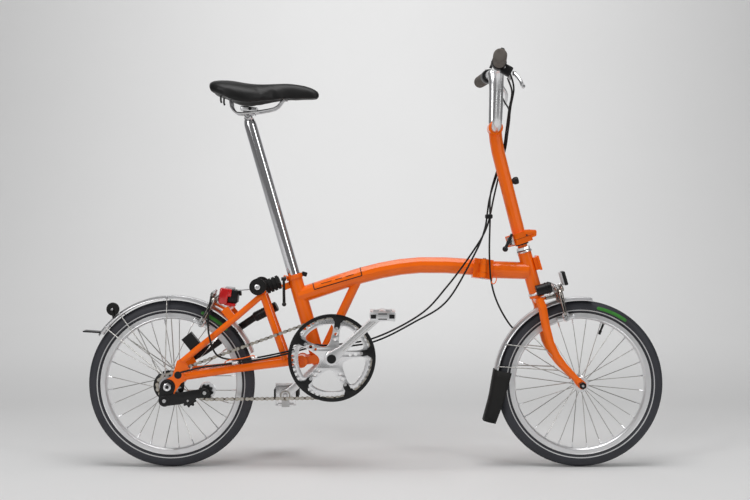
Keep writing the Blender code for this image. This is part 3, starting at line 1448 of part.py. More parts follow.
def make_controls():
    """Brake levers, their brackets and the shifters' thumb levers, right and left."""

    def bracket():
        start = flipped(bar_at(0.1180))
        end = flipped(bar_at(0.1480))
        body = cylinder(start, end, 0.0185, 20)
        body = joined(body, box(Vector((0.3250, -0.1340, 0.9930)), (0.0260, 0.0220, 0.0260), -0.5))
        outward = (end - start).normalized()
        return cut(body, cylinder(start - outward * 0.02, end + outward * 0.02, BAR_R + GAP, 20))

    def lever():
        points = [
            LEVER_PIVOT,
            Vector((0.3560, -0.1480, 0.9680)),
            Vector((0.3590, -0.1700, 0.9520)),
            Vector((0.3570, -0.2000, 0.9440)),
            Vector((0.3530, -0.2350, 0.9420)),
        ]
        return tube(points, 0.0042)

    def trigger():
        foot = Vector((TRIGGER_PIVOT.x + 0.0010, TRIGGER_PIVOT.y + 0.0080, TRIGGER_PIVOT.z + 0.0200))
        top = Vector((0.3190, foot.y, 1.0500))
        return cone(foot, top, 0.0040, 0.0055, 10)

    for make, name, look, right, left in (
        (bracket, "lever_bracket", BLACK, STEM, STEM),
        (lever, "brake_lever", SILVER, LEVER_RIGHT, LEVER_LEFT),
        (trigger, "shift_lever", BLACK, TRIGGER_RIGHT, TRIGGER_LEFT),
    ):
        right_one, left_one = mirrored(make)
        finish(right_one, "right_" + name, look, right)
        finish(left_one, "left_" + name, look, left)


REFLECTOR_STRIP = ((0.4509, 0.4382), (0.4515, 0.4480), (0.4600, 0.4600), (0.4860, 0.4655))


def make_front_reflector():
    """The front reflector on its bent strip above the crown, and the round block beside it."""
    centre = Vector((0.4853, 0.0, 0.4790))
    disc = cylinder(centre - HEAD_FORWARD * 0.0070, centre + HEAD_FORWARD * 0.0070, 0.0185, 24)
    strip = tube([Vector((x, 0.0, z)) for x, z in REFLECTOR_STRIP], 0.0022)
    middle = Vector((0.4305, -0.0345, 0.4540))
    half = HEAD_FORWARD * 0.0195
    block = cylinder(middle - half, middle + half, 0.0150, 16)
    bend = Vector((0.4560, -0.0200, 0.4580))
    root = Vector((0.4550, 0.0, 0.4530))
    arm = tube([middle + half * 0.8, bend, root], 0.0026)
    finish(joined(disc, strip, block, arm), "front_reflector", BLACK, FORK)


# ------------------------------------------------------------------ cables

CABLE_R = 0.0024
FRONT_BRAKE_ROUTE = (
    (0.3300, -0.1160, 0.9760),
    (0.3400, -0.0980, 0.9450),
    (0.3330, -0.0700, 0.9000),
    (0.3200, -0.0440, 0.8400),
    (0.3090, -0.0330, 0.7700),
    (0.3010, -0.0320, 0.7000),
    (0.2960, -0.0420, 0.6200),
    (0.2920, -0.0480, 0.5400),
    (0.2980, -0.0420, 0.4690),
    (0.3195, -0.0120, 0.4095),
    (0.3580, 0.0310, 0.3515),
    (0.3850, 0.0470, 0.3420),
    (0.4120, 0.0610, 0.3700),
    (0.4300, 0.0620, 0.4250),
    (0.4520, 0.0460, 0.4620),
    (0.4640, 0.0200, 0.4620),
)
REAR_BRAKE_ROUTE = (
    (0.3300, 0.1160, 0.9760),
    (0.3450, 0.0900, 0.9400),
    (0.3520, 0.0300, 0.9050),
    (0.3420, -0.0300, 0.8500),
    (0.3195, -0.0345, 0.7700),
    (0.3000, -0.0400, 0.6900),
    (0.2870, -0.0440, 0.6100),
    (0.2480, -0.0470, 0.5450),
    (0.1850, -0.0460, 0.4600),
    (0.1180, -0.0420, 0.3900),
    (0.0000, -0.0400, 0.3300),
    (-0.1100, -0.0400, 0.3130),
    (-0.1550, -0.0400, 0.3130),
    (-0.2250, -0.0505, 0.2960),
    (-0.2950, -0.0600, 0.2830),
    (-0.3450, -0.0660, 0.2790),
    (-0.3900, -0.0700, 0.2920),
    (-0.4200, -0.0690, 0.3400),
    (-0.4280, -0.0550, 0.3900),
    (-0.4200, -0.0340, 0.4300),
    (-0.4090, -0.0160, 0.4420),
)
GEAR_ROUTE = (
    (0.3340, -0.1120, 0.9960),
    (0.3480, -0.0900, 0.9550),
    (0.3420, -0.0600, 0.9050),
    (0.3260, -0.0470, 0.8350),
    (0.3080, -0.0420, 0.7600),
    (0.2900, -0.0490, 0.6800),
    (0.2820, -0.0520, 0.6050),
    (0.2350, -0.0580, 0.5350),
    (0.1700, -0.0520, 0.4350),
    (0.1050, -0.0440, 0.3720),
    (0.0000, -0.0400, 0.3210),
    (-0.1100, -0.0400, 0.3070),
    (-0.1550, -0.0400, 0.3070),
    (-0.2250, -0.0500, 0.2900),
    (-0.2950, -0.0600, 0.2770),
    (-0.3600, -0.0680, 0.2690),
    (-0.4300, -0.0710, 0.2600),
    (-0.4800, -0.0710, 0.2480),
)


def make_cables():
    for name, route, parent in (
        ("front_brake_cable", FRONT_BRAKE_ROUTE, STEM),
        ("rear_brake_cable", REAR_BRAKE_ROUTE, STEM),
        ("gear_cable", GEAR_ROUTE, STEM),
    ):
        path = [Vector(point) for point in route]
        finish(tube(path, CABLE_R, resolution=1), name, BLACK, parent)


# ------------------------------------------------------------------ build

make_main_frame()
make_hinge_pin()
make_hinge_clamp()
make_seat_clamp()
make_seatpost()
make_rear_frame()
make_suspension_block()
make_rollers()
make_wheels()
make_rear_mudguard()
make_front_mudguard()
make_brakes()
make_rear_reflector()
make_pump()
make_stay_block()
make_tensioner()
make_chain()
make_chainset()
make_chain_guard()
make_left_crank()
make_pedals()
make_sprocket()
make_front_frame()
make_headset()
make_fork()
make_stem()
make_stem_clamp()
make_bar()
make_controls()
make_front_reflector()
make_cables()
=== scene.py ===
"""The look of the folding bicycle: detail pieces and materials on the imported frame."""

import json
import math

import bmesh
import bpy
from mathutils import Matrix, Vector
from mathutils.bvhtree import BVHTree

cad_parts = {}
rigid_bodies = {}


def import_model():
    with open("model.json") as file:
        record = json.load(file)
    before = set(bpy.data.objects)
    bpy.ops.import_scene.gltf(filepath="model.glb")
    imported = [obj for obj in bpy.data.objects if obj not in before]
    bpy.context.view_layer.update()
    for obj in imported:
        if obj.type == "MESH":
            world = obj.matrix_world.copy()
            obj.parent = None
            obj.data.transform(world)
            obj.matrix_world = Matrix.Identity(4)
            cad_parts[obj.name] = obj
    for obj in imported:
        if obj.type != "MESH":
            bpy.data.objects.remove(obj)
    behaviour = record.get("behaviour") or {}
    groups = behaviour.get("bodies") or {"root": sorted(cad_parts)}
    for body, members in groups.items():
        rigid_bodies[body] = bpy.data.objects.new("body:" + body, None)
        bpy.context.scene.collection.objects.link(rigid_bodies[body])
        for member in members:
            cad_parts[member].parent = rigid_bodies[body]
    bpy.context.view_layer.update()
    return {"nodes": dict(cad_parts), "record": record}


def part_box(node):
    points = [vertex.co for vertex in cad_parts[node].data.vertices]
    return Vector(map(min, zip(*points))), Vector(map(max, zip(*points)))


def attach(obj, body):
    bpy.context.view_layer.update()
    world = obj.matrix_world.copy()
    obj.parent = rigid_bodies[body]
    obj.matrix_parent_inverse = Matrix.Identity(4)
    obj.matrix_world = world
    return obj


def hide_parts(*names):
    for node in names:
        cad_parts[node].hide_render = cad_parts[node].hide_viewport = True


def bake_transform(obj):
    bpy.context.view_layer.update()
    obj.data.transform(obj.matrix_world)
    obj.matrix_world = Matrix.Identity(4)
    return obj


for item in list(bpy.data.objects):
    bpy.data.objects.remove(item)
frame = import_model()
NODES = frame["nodes"]

TYRE_R = 0.2115
REAR_BRAKE_ANGLE = 63.0
FRONT_BRAKE_ANGLE = 103.0
SECTION_R = 0.0175
REAR_AXLE = Vector((-0.5135, 0.0, TYRE_R))
FRONT_AXLE = Vector((0.5268, 0.0, TYRE_R))
BRACKET = Vector((-0.1035, 0.0, 0.2825))
HEAD_LEAN = math.radians(16.0)
HEAD_UP = Vector((-math.sin(HEAD_LEAN), 0.0, math.cos(HEAD_LEAN)))
HEAD_FORWARD = Vector((math.cos(HEAD_LEAN), 0.0, math.sin(HEAD_LEAN)))
HEAD_POINT = Vector((0.4134, 0.0, 0.4494))
SEAT_LEAN = math.radians(16.2)
SEAT_UP = Vector((-math.sin(SEAT_LEAN), 0.0, math.cos(SEAT_LEAN)))
SEAT_TUBE_TOP = Vector((-0.2024, 0.0, 0.489))
CHAIN_Y = -0.051
STEM_PLANE_POINT = Vector((0.3754, 0.0, 0.5821))
STEM_HINGE_SIDE = Vector((0.6797, 0.7071, 0.1949)).normalized()
STEM_CLAMP_PIVOT = STEM_PLANE_POINT - STEM_HINGE_SIDE * 0.04
CHAINRING_TEETH = 50
SPROCKET_TEETH = 14
JOCKEY_TEETH = 9
PITCH = 0.0127
CRANK_ANGLE = math.radians(41.9)
CRANK_LENGTH = 0.17
CRANK_END = BRACKET + CRANK_LENGTH * Vector((math.cos(CRANK_ANGLE), 0.0, math.sin(CRANK_ANGLE)))
LEFT_CRANK_END = BRACKET * 2.0 - CRANK_END
JOCKEY_FRONT = Vector((-0.4205, CHAIN_Y, 0.1964))
JOCKEY_REAR = Vector((-0.4625, CHAIN_Y, 0.177))
TENSIONER_PIVOT = Vector((-0.5214, 0.0, 0.1765))
ROLLER_AXLE = Vector((-0.29, 0.0, 0.46))
MUDGUARD_ROLLER = Vector((-0.6648, 0.0, 0.4004))
SPIDER_ANGLE = 8.6
UP = Vector((0.0, 0.0, 1.0))
SIDE = Vector((0.0, 1.0, 0.0))


# ------------------------------------------------------------------ materials


class Graph:
    """A short way to add and join shader nodes."""

    def __init__(self, name):
        self.material = bpy.data.materials.new(name)
        self.material.use_nodes = True
        self.tree = self.material.node_tree
        self.tree.nodes.clear()
        self.out = self.node("ShaderNodeOutputMaterial")
        self.shader = self.node("ShaderNodeBsdfPrincipled")
        self.join(self.shader.outputs[0], self.out.inputs[0])
        self.where = self.node("ShaderNodeTexCoord").outputs["Object"]

    def node(self, kind, **settings):
        made = self.tree.nodes.new(kind)
        for key, value in settings.items():
            setattr(made, key, value)
        return made

    def join(self, start, end):
        self.tree.links.new(start, end)

    def set(self, name, value):
        self.shader.inputs[name].default_value = value

    def noise(self, scale, detail, stretch=None):
        where = self.where
        if stretch:
            mapping = self.node("ShaderNodeMapping")
            mapping.inputs["Scale"].default_value = stretch
            self.join(where, mapping.inputs["Vector"])
            where = mapping.outputs[0]
        made = self.node("ShaderNodeTexNoise")
        made.inputs["Scale"].default_value = scale
        made.inputs["Detail"].default_value = detail
        self.join(where, made.inputs["Vector"])
        return made.outputs[0]

    def voronoi(self, scale):
        made = self.node("ShaderNodeTexVoronoi")
        made.inputs["Scale"].default_value = scale
        self.join(self.where, made.inputs["Vector"])
        return made.outputs[0]

    def ramp(self, value, stops):
        made = self.node("ShaderNodeValToRGB")
        band = made.color_ramp
        while len(band.elements) < len(stops):
            band.elements.new(0.5)
        for element, (place, colour) in zip(band.elements, stops):
            element.position = place
            element.color = (*colour, 1.0) if len(colour) == 3 else colour
        self.join(value, made.inputs[0])
        return made.outputs[0]

    def spread(self, value, low, high):
        made = self.node("ShaderNodeMapRange")
        made.inputs["To Min"].default_value = low
        made.inputs["To Max"].default_value = high
        self.join(value, made.inputs["Value"])
        return made.outputs[0]

    def bump(self, value, strength, distance):
        made = self.node("ShaderNodeBump")
        made.inputs["Strength"].default_value = strength
        made.inputs["Distance"].default_value = distance
        self.join(value, made.inputs["Height"])
        self.join(made.outputs[0], self.shader.inputs["Normal"])


def surface(name, colours, rough, metal=0.0, *, grain, depth, strength, patches=18.0, stretch=None,
        coat=0.0, coat_rough=0.1, specular=0.5):
    """A material whose colour and roughness drift in patches, with a fine grain in its relief.

    colours are two or more tones, mixed by a large noise; rough is the range of the roughness.
    """
    graph = Graph(name)
    broad = graph.noise(patches, 5.0)
    fine = graph.noise(grain, 3.0, stretch)
    stops = [(0.3 + 0.4 * k / (len(colours) - 1), tone) for k, tone in enumerate(colours)]
    graph.join(graph.ramp(broad, stops), graph.shader.inputs["Base Color"])
    both = graph.node("ShaderNodeMath", operation="MULTIPLY_ADD")
    graph.join(fine, both.inputs[0])
    both.inputs[1].default_value = 0.5
    half = graph.node("ShaderNodeMath", operation="MULTIPLY")
    graph.join(broad, half.inputs[0])
    half.inputs[1].default_value = 0.5
    graph.join(half.outputs[0], both.inputs[2])
    graph.join(graph.spread(both.outputs[0], *rough), graph.shader.inputs["Roughness"])
    graph.set("Metallic", metal)
    graph.set("Specular IOR Level", specular)
    graph.set("Coat Weight", coat)
    graph.set("Coat Roughness", coat_rough)
    graph.bump(fine, strength, depth)
    return graph.material


PAINT = surface("orange_paint", ((0.92, 0.14, 0.001), (0.98, 0.158, 0.001), (0.95, 0.15, 0.001)),
    (0.24, 0.34), grain=900.0, depth=0.00006, strength=0.06, coat=0.4, coat_rough=0.08, specular=0.25)
ALLOY = surface("silver_alloy", ((0.8, 0.8, 0.81), (0.88, 0.88, 0.89), (0.84, 0.84, 0.85)), (0.2, 0.36),
    1.0, grain=700.0, depth=0.00005, strength=0.1)
CAST = surface("cast_alloy", ((0.78, 0.78, 0.79), (0.88, 0.88, 0.88)), (0.28, 0.44), 1.0, grain=1200.0,
    depth=0.0001, strength=0.18)
GUARD = surface("mudguard_alloy", ((0.74, 0.74, 0.75), (0.84, 0.84, 0.85)), (0.28, 0.42), 1.0,
    grain=300.0, depth=0.00005, strength=0.1, stretch=(0.3, 3.0, 0.3))
TRACK = surface("rim_brake_track", ((0.76, 0.76, 0.77), (0.84, 0.84, 0.85)), (0.28, 0.42), 1.0,
    grain=1600.0, depth=0.00008, strength=0.25, stretch=(1.0, 0.2, 1.0))
CHROME = surface("chrome", ((0.78, 0.78, 0.8), (0.84, 0.84, 0.86)), (0.05, 0.13), 1.0, grain=500.0,
    depth=0.00003, strength=0.03)
STEEL = surface("steel", ((0.48, 0.48, 0.49), (0.6, 0.6, 0.61), (0.54, 0.53, 0.52)), (0.24, 0.42), 1.0,
    grain=900.0, depth=0.00006, strength=0.12)
SPOKE = surface("stainless_spoke", ((0.42, 0.41, 0.39), (0.58, 0.57, 0.55)), (0.22, 0.36), 1.0,
    grain=900.0, depth=0.00004, strength=0.08)
CHAIN = surface("chain_steel", ((0.44, 0.38, 0.3), (0.58, 0.54, 0.47), (0.36, 0.33, 0.29)), (0.26, 0.48),
    1.0, grain=1200.0, depth=0.00008, strength=0.2, patches=90.0)
BLACK = surface("black_plastic", ((0.0045, 0.0045, 0.005), (0.0085, 0.0085, 0.009)), (0.3, 0.46),
    grain=1400.0, depth=0.0001, strength=0.25, specular=0.35)
HOUSING = surface("cable_housing", ((0.004, 0.004, 0.0045), (0.008, 0.008, 0.008)), (0.28, 0.42),
    grain=1800.0, depth=0.00004, strength=0.12, specular=0.3)
RUBBER = surface("black_rubber", ((0.007, 0.0068, 0.0068), (0.012, 0.0115, 0.011)), (0.58, 0.78),
    grain=900.0, depth=0.00016, strength=0.3, specular=0.3)
SIDEWALL = surface("tyre_rubber", ((0.012, 0.012, 0.014), (0.02, 0.02, 0.023), (0.016, 0.016, 0.018)),
    (0.48, 0.68), grain=700.0, depth=0.00016, strength=0.28)
STRIPE = surface("reflective_stripe", ((0.5, 0.5, 0.51), (0.62, 0.62, 0.62)), (0.3, 0.45), grain=1500.0,
    depth=0.00008, strength=0.25)
GREEN = surface("green_panel", ((0.02, 0.16, 0.012), (0.035, 0.24, 0.02)), (0.4, 0.58), grain=900.0,
    depth=0.00012, strength=0.25, patches=60.0)
FOAM = surface("foam", ((0.105, 0.092, 0.082), (0.15, 0.135, 0.12), (0.12, 0.108, 0.098)), (0.82, 0.96),
    grain=1300.0, depth=0.0005, strength=0.55, patches=40.0, specular=0.2)
RED = surface("red_lens", ((0.5, 0.004, 0.006), (0.7, 0.012, 0.014)), (0.1, 0.2), grain=300.0,
    depth=0.0002, strength=0.3, patches=60.0, coat=0.8, coat_rough=0.04)
CALIPER = surface("caliper_alloy", ((0.2, 0.185, 0.165), (0.46, 0.435, 0.4), (0.3, 0.28, 0.26)),
    (0.18, 0.34), 1.0, grain=900.0, depth=0.0001, strength=0.2, patches=120.0)
DARK_CHAIN = surface("chain_rollers", ((0.1, 0.085, 0.07), (0.18, 0.15, 0.12)), (0.35, 0.55), 1.0,
    grain=1200.0, depth=0.00008, strength=0.2, patches=90.0)
PALE = surface("pale_plastic", ((0.46, 0.46, 0.47), (0.56, 0.56, 0.57)), (0.25, 0.4), grain=1200.0,
    depth=0.00006, strength=0.15)
PAD = surface("brake_rubber", ((0.16, 0.15, 0.14), (0.24, 0.23, 0.21)), (0.6, 0.78), grain=1000.0,
    depth=0.00012, strength=0.3)


def leather(name):
    """A dark textured cover with pebble-like relief and worn, slightly shinier patches."""
    graph = Graph(name)
    broad = graph.noise(14.0, 5.0)
    tones = [(0.3, (0.0045, 0.0045, 0.0045)), (0.55, (0.0075, 0.0072, 0.0072)),
        (0.75, (0.011, 0.0105, 0.0105))]
    graph.join(graph.ramp(broad, tones), graph.shader.inputs["Base Color"])
    pebbles = graph.voronoi(620.0)
    graph.join(graph.spread(broad, 0.34, 0.5), graph.shader.inputs["Roughness"])
    graph.bump(pebbles, 0.3, 0.0003)
    graph.set("Specular IOR Level", 0.3)
    graph.set("Sheen Weight", 0.01)
    graph.set("Sheen Roughness", 0.5)
    return graph.material


COVER = leather("saddle_cover")


def tyre_material(name):
    """Tyre rubber in dark tones that drift, with a fine grain in its relief."""
    graph = Graph(name)
    broad = graph.noise(12.0, 5.0)
    tones = [(0.3, (0.02, 0.021, 0.027)), (0.55, (0.028, 0.029, 0.037)), (0.75, (0.036, 0.036, 0.045))]
    graph.join(graph.ramp(broad, tones), graph.shader.inputs["Base Color"])
    graph.join(graph.spread(broad, 0.46, 0.66), graph.shader.inputs["Roughness"])
    fine = graph.noise(800.0, 3.0)
    graph.bump(fine, 0.3, 0.00016)
    graph.set("Specular IOR Level", 0.5)
    return graph.material


TYRE = tyre_material("tyre")


# ------------------------------------------------------------------ shapes


def holder(name, data):
    made = bpy.data.objects.new(name, data)
    bpy.context.scene.collection.objects.link(made)
    return made


def sharpen(mesh, degrees):
    """Smooth shading, broken at edges that turn by more than this."""
    mesh.polygons.foreach_set("use_smooth", [True] * len(mesh.polygons))
    mesh.set_sharp_from_angle(angle=math.radians(degrees))


def raw(name, corners, faces, degrees=32.0):
    mesh = bpy.data.meshes.new(name)
    mesh.from_pydata([tuple(corner) for corner in corners], [], faces)
    shape = bmesh.new()
    shape.from_mesh(mesh)
    bmesh.ops.recalc_face_normals(shape, faces=shape.faces)
    shape.to_mesh(mesh)
    shape.free()
    sharpen(mesh, degrees)
    return holder(name, mesh)


def from_bmesh(name, shape, degrees):
    mesh = bpy.data.meshes.new(name)
    bmesh.ops.recalc_face_normals(shape, faces=shape.faces)
    shape.to_mesh(mesh)
    shape.free()
    sharpen(mesh, degrees)
    return holder(name, mesh)


def joined(name, parts):
    """Several objects as one, keeping each one's materials."""
    parts = [part for part in parts if part is not None]
    mesh = bpy.data.meshes.new(name)
    shape = bmesh.new()
    slots = []
    for part in parts:
        first = len(shape.faces)
        part.data.transform(part.matrix_world)
        part.matrix_world = Matrix.Identity(4)
        shape.from_mesh(part.data)
        shape.faces.ensure_lookup_table()
        used = [part.data.materials[k] for k in range(len(part.data.materials))] or [None]
        for face in shape.faces[first:]:
            look = used[min(face.material_index, len(used) - 1)]
            if look not in slots:
                slots.append(look)
            face.material_index = slots.index(look)
        bpy.data.objects.remove(part)
    shape.to_mesh(mesh)
    shape.free()
    for look in slots:
        if look is not None:
            mesh.materials.append(look)
    return holder(name, mesh)


def painted(thing, look):
    thing.data.materials.clear()
    thing.data.materials.append(look)
    return thing


def keep(parts, look, thing):
    """Paints a piece and puts it on a list."""
    parts.append(painted(thing, look))


def evaluated(thing):
    """A new mesh with the object's modifiers applied."""
    bpy.context.view_layer.update()
    return bpy.data.meshes.new_from_object(thing.evaluated_get(bpy.context.evaluated_depsgraph_get()))


def settle(thing):
    """Applies the object's modifiers to the object itself."""
    mesh = evaluated(thing)
    thing.modifiers.clear()
    thing.data = mesh


def sheet(rows, width, around=False):
    """The faces between rows of points, each row closed on itself where around is true."""
    faces = []
    for k in range(rows - 1):
        for j in range(width if around else width - 1):
            after = (j + 1) % width
            faces.append((k * width + j, k * width + after, (k + 1) * width + after, (k + 1) * width + j))
    return faces


def axes_of(direction):
    """Two unit vectors across a direction."""
    along = Vector(direction).normalized()
    other = SIDE if abs(along.y) < 0.9 else Vector((1.0, 0.0, 0.0))
    first = along.cross(other).normalized()
    return first, along.cross(first).normalized()


def lathe(name, centre, direction, profile, steps, degrees=32.0):
    """A closed turned shape: (radius, distance) points about an axis; radius 0 closes an end."""
    along = Vector(direction).normalized()
    first, second = axes_of(along)
    centre = Vector(centre)
    corners = []
    rows = []
    for radius, offset in profile:
        if radius < 1e-6:
            rows.append([len(corners)])
            corners.append(centre + along * offset)
            continue
        row = []
        for k in range(steps):
            turn = 2.0 * math.pi * k / steps
            row.append(len(corners))
            corners.append(
                centre + along * offset + (first * math.cos(turn) + second * math.sin(turn)) * radius)
        rows.append(row)
    faces = []
    closed = len(rows[0]) > 1 and len(rows[-1]) > 1
    pairs = list(zip(rows, rows[1:])) + ([(rows[-1], rows[0])] if closed else [])
    for row, following in pairs:
        for k in range(steps):
            after = (k + 1) % steps
            if len(row) == 1:
                faces.append((row[0], following[k], following[after]))
            elif len(following) == 1:
                faces.append((row[k], row[after], following[0]))
            else:
                faces.append((row[k], row[after], following[after], following[k]))
    return raw(name, corners, faces, degrees)


def ring(name, axle, profile, steps, degrees=32.0):
    """A turned ring about a wheel's axle: (radius, sideways) points, closed on itself."""
    return lathe(name, axle, SIDE, profile, steps, degrees)


ROD_CHAMFER = 0.15


def rod(name, start, end, radius, sides, tip=None):
    """A turned rod with chamfered ends, between two points."""
    start = Vector(start)
    end = Vector(end)
    length = (end - start).length
    edge = min(radius * ROD_CHAMFER, length * 0.3)
    last = radius if tip is None else tip
    profile = [(0.0, 0.0), (radius - edge, 0.0), (radius, edge), (last, length - edge),
        (last - edge, length), (0.0, length)]
    return lathe(name, start, end - start, profile, sides, 40.0)


def ball(name, centre, radius, sides=20):
    """A turned ball."""
    profile = [(0.0, -radius)]
    for k in range(1, 12):
        turn = math.pi * k / 12.0
        profile.append((radius * math.sin(turn), -radius * math.cos(turn)))
    profile.append((0.0, radius))
    return lathe(name, centre, UP, profile, sides, 60.0)


def bolt(name, centre, direction, radius, height):
    """A cap-head bolt with a round socket."""
    profile = [(0.0, -height), (radius * 0.9, -height), (radius, -height * 0.8), (radius, height * 0.7),
        (radius * 0.88, height), (radius * 0.52, height), (radius * 0.48, height * 0.4),
        (0.0, height * 0.35)]
    return lathe(name, centre, direction, profile, 18)


def smooth_path(points, per):
    """A Catmull-Rom curve through the points."""
    points = [Vector(point) for point in points]
    if len(points) < 3:
        return points
    ends = [points[0] * 2.0 - points[1]] + points + [points[-1] * 2.0 - points[-2]]
    made = []
    for k in range(1, len(ends) - 2):
        a, b, c, d = ends[k - 1:k + 3]
        for step in range(per):
            t = step / per
            made.append(0.5 * (2.0 * b + (c - a) * t + (2.0 * a - 5.0 * b + 4.0 * c - d) * t * t
                + (3.0 * b - a - 3.0 * c + d) * t * t * t))
    made.append(points[-1])
    return made


def tube(name, path, radius, sides):
    """A tube along a path, closed at both ends. radius is a number or one for each point."""
    path = [Vector(point) for point in path]
    count = len(path)
    radii = [radius] * count if isinstance(radius, float) else list(radius)
    tangents = [(path[min(k + 1, count - 1)] - path[max(k - 1, 0)]).normalized() for k in range(count)]
    first = axes_of(tangents[0])[0]
    corners = []
    for centre, along, reach in zip(path, tangents, radii):
        first = (first - along * first.dot(along)).normalized()
        second = along.cross(first)
        for side in range(sides):
            turn = 2.0 * math.pi * side / sides
            corners.append(centre + (first * math.cos(turn) * reach + second * math.sin(turn) * reach))
    faces = sheet(count, sides, True)
    faces.append(tuple(reversed(range(sides))))
    faces.append(tuple(range((count - 1) * sides, count * sides)))
    return raw(name, corners, faces, 50.0)


def block(name, centre, size, bevel, lean=0.0, x_axis=None, z_axis=None, segments=2):
    """A box with rounded edges. lean turns it about Y; x_axis and z_axis set it in any direction."""
    shape = bmesh.new()
    bmesh.ops.create_cube(shape, size=1.0)
    bmesh.ops.scale(shape, vec=Vector(size), verts=shape.verts)
    bmesh.ops.bevel(shape, geom=list(shape.edges), offset=bevel, segments=segments, profile=0.5,
        affect="EDGES")
    if x_axis is not None:
        x_axis = Vector(x_axis).normalized()
        z_axis = Vector(z_axis).normalized()
        y_axis = z_axis.cross(x_axis).normalized()
        turn = Matrix((x_axis, y_axis, z_axis)).transposed().to_4x4()
    else:
        turn = Matrix.Rotation(-lean, 4, "Y")
    bmesh.ops.transform(shape, matrix=Matrix.Translation(Vector(centre)) @ turn, verts=shape.verts)
    return from_bmesh(name, shape, 35.0)


def plate(name, outlines, low_y, high_y, bevel):
    """A flat piece cut to outlines of (x, z) points, the first the edge and the others holes."""
    curve = bpy.data.curves.new(name, "CURVE")
    curve.dimensions = "2D"
    curve.fill_mode = "BOTH"
    curve.extrude = (high_y - low_y) / 2.0 - bevel
    curve.bevel_depth = bevel
    curve.bevel_resolution = 1
    curve.offset = -bevel
    for points in outlines:
        spline = curve.splines.new("POLY")
        spline.points.add(len(points) - 1)
        for point, (x, z) in zip(spline.points, points):
            point.co = (x, z, 0.0, 1.0)
        spline.use_cyclic_u = True
    source = holder(name + "_curve", curve)
    mesh = evaluated(source)
    bpy.data.objects.remove(source)
    turn = Matrix.Translation((0.0, (low_y + high_y) / 2.0, 0.0)) @ Matrix.Rotation(math.pi / 2.0, 4, "X")
    mesh.transform(turn)
    shape = bmesh.new()
    shape.from_mesh(mesh)
    bmesh.ops.remove_doubles(shape, verts=shape.verts, dist=0.00001)
    bmesh.ops.recalc_face_normals(shape, faces=shape.faces)
    shape.to_mesh(mesh)
    shape.free()
    sharpen(mesh, 30.0)
    return holder(name, mesh)


def circle_points(centre, radius, count):
    made = []
    for k in range(count):
        turn = 2.0 * math.pi * k / count
        made.append((centre[0] + radius * math.cos(turn), centre[1] + radius * math.sin(turn)))
    return made


def polar(centre, radius, degrees):
    turn = math.radians(degrees)
    return (centre[0] + radius * math.cos(turn), centre[1] + radius * math.sin(turn))


def on_wheel(axle, radius, degrees, y=0.0):
    x, z = polar((axle.x, axle.z), radius, degrees)
    return Vector((x, y, z))


def wheel_axes(degrees):
    """The directions away from the axle and along the tyre, at this angle round a wheel."""
    turn = math.radians(degrees)
    return Vector((math.cos(turn), 0.0, math.sin(turn))), Vector((-math.sin(turn), 0.0, math.cos(turn)))


def bar_outline(start, start_r, end, end_r, steps=10):
    """The outline of a bar with two round ends of different radii."""
    heading = math.atan2(end[1] - start[1], end[0] - start[0])
    points = []
    for k in range(steps + 1):
        points.append(polar(start, start_r, math.degrees(heading) + 90.0 + 180.0 * k / steps))
    for k in range(steps + 1):
        points.append(polar(end, end_r, math.degrees(heading) - 90.0 + 180.0 * k / steps))
    return points


def waisted(start, start_r, end, end_r, waist, steps=12):
    """Like bar_outline, but the sides draw in to a narrower middle."""
    heading = math.degrees(math.atan2(end[1] - start[1], end[0] - start[0]))
    length = math.hypot(end[0] - start[0], end[1] - start[1])
    points = [polar(start, start_r, heading + 70.0 + 220.0 * k / steps) for k in range(steps + 1)]
    sides = ((0.2, 0.84 * 1.22), (0.32, 1.0), (0.7, 1.0), (0.86, 1.04 * 1.04))

    def edge(rows, turn):
        return [polar(polar(start, length * place, heading), waist * swell, heading + turn) for place,
            swell in rows]

    points += edge(sides, -90.0)
    points += [polar(end, end_r, heading - 110.0 + 220.0 * k / steps) for k in range(steps + 1)]
    return points + edge(reversed(sides), 90.0)


def rounded(points, share, steps):
    """The outline with each corner rounded off."""
    made = []
    count = len(points)
    for k in range(count):
        here = Vector(points[k])
        before = here.lerp(Vector(points[k - 1]), share)
        after = here.lerp(Vector(points[(k + 1) % count]), share)
        for step in range(steps + 1):
            t = step / steps
            made.append(tuple(before.lerp(here, t).lerp(here.lerp(after, t), t)))
    return made


def flipped(point):
    return Vector((point[0], -point[1], point[2]))


def put(thing, body, look=None, replaces=()):
    """Paints a piece, hides what it stands for, and lets it ride on a body."""
    if look is not None:
        painted(thing, look)
    if replaces:
        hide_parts(*([replaces] if isinstance(replaces, str) else replaces))
    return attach(thing, body)


# ------------------------------------------------------------------ carried-over nodes


EDGE_WIDTH = 0.0007
EDGE_ANGLE = 42.0
LOOKS = {
    "orange_paint": PAINT, "silver_alloy": ALLOY, "clamp_alloy": CAST, "chrome": CHROME, "steel": STEEL,
    "black_plastic": BLACK, "cable_housing": HOUSING, "black_rubber": RUBBER, "tyre": TYRE, "foam": FOAM,
    "saddle_cover": COVER, "pedal_alloy": CAST, "red_lens": RED,
}
for row in frame["record"]["subparts"]:
    node = NODES.get(row["node"])
    if node is not None:
        painted(node, LOOKS[row["material_slot"]])
        sharpen(node.data, 40.0)
        soften = node.modifiers.new("edges", "BEVEL")
        soften.width = EDGE_WIDTH
        soften.segments = 2
        soften.limit_method = "ANGLE"
        soften.angle_limit = math.radians(EDGE_ANGLE)
        soften.use_clamp_overlap = True


# ------------------------------------------------------------------ wheels


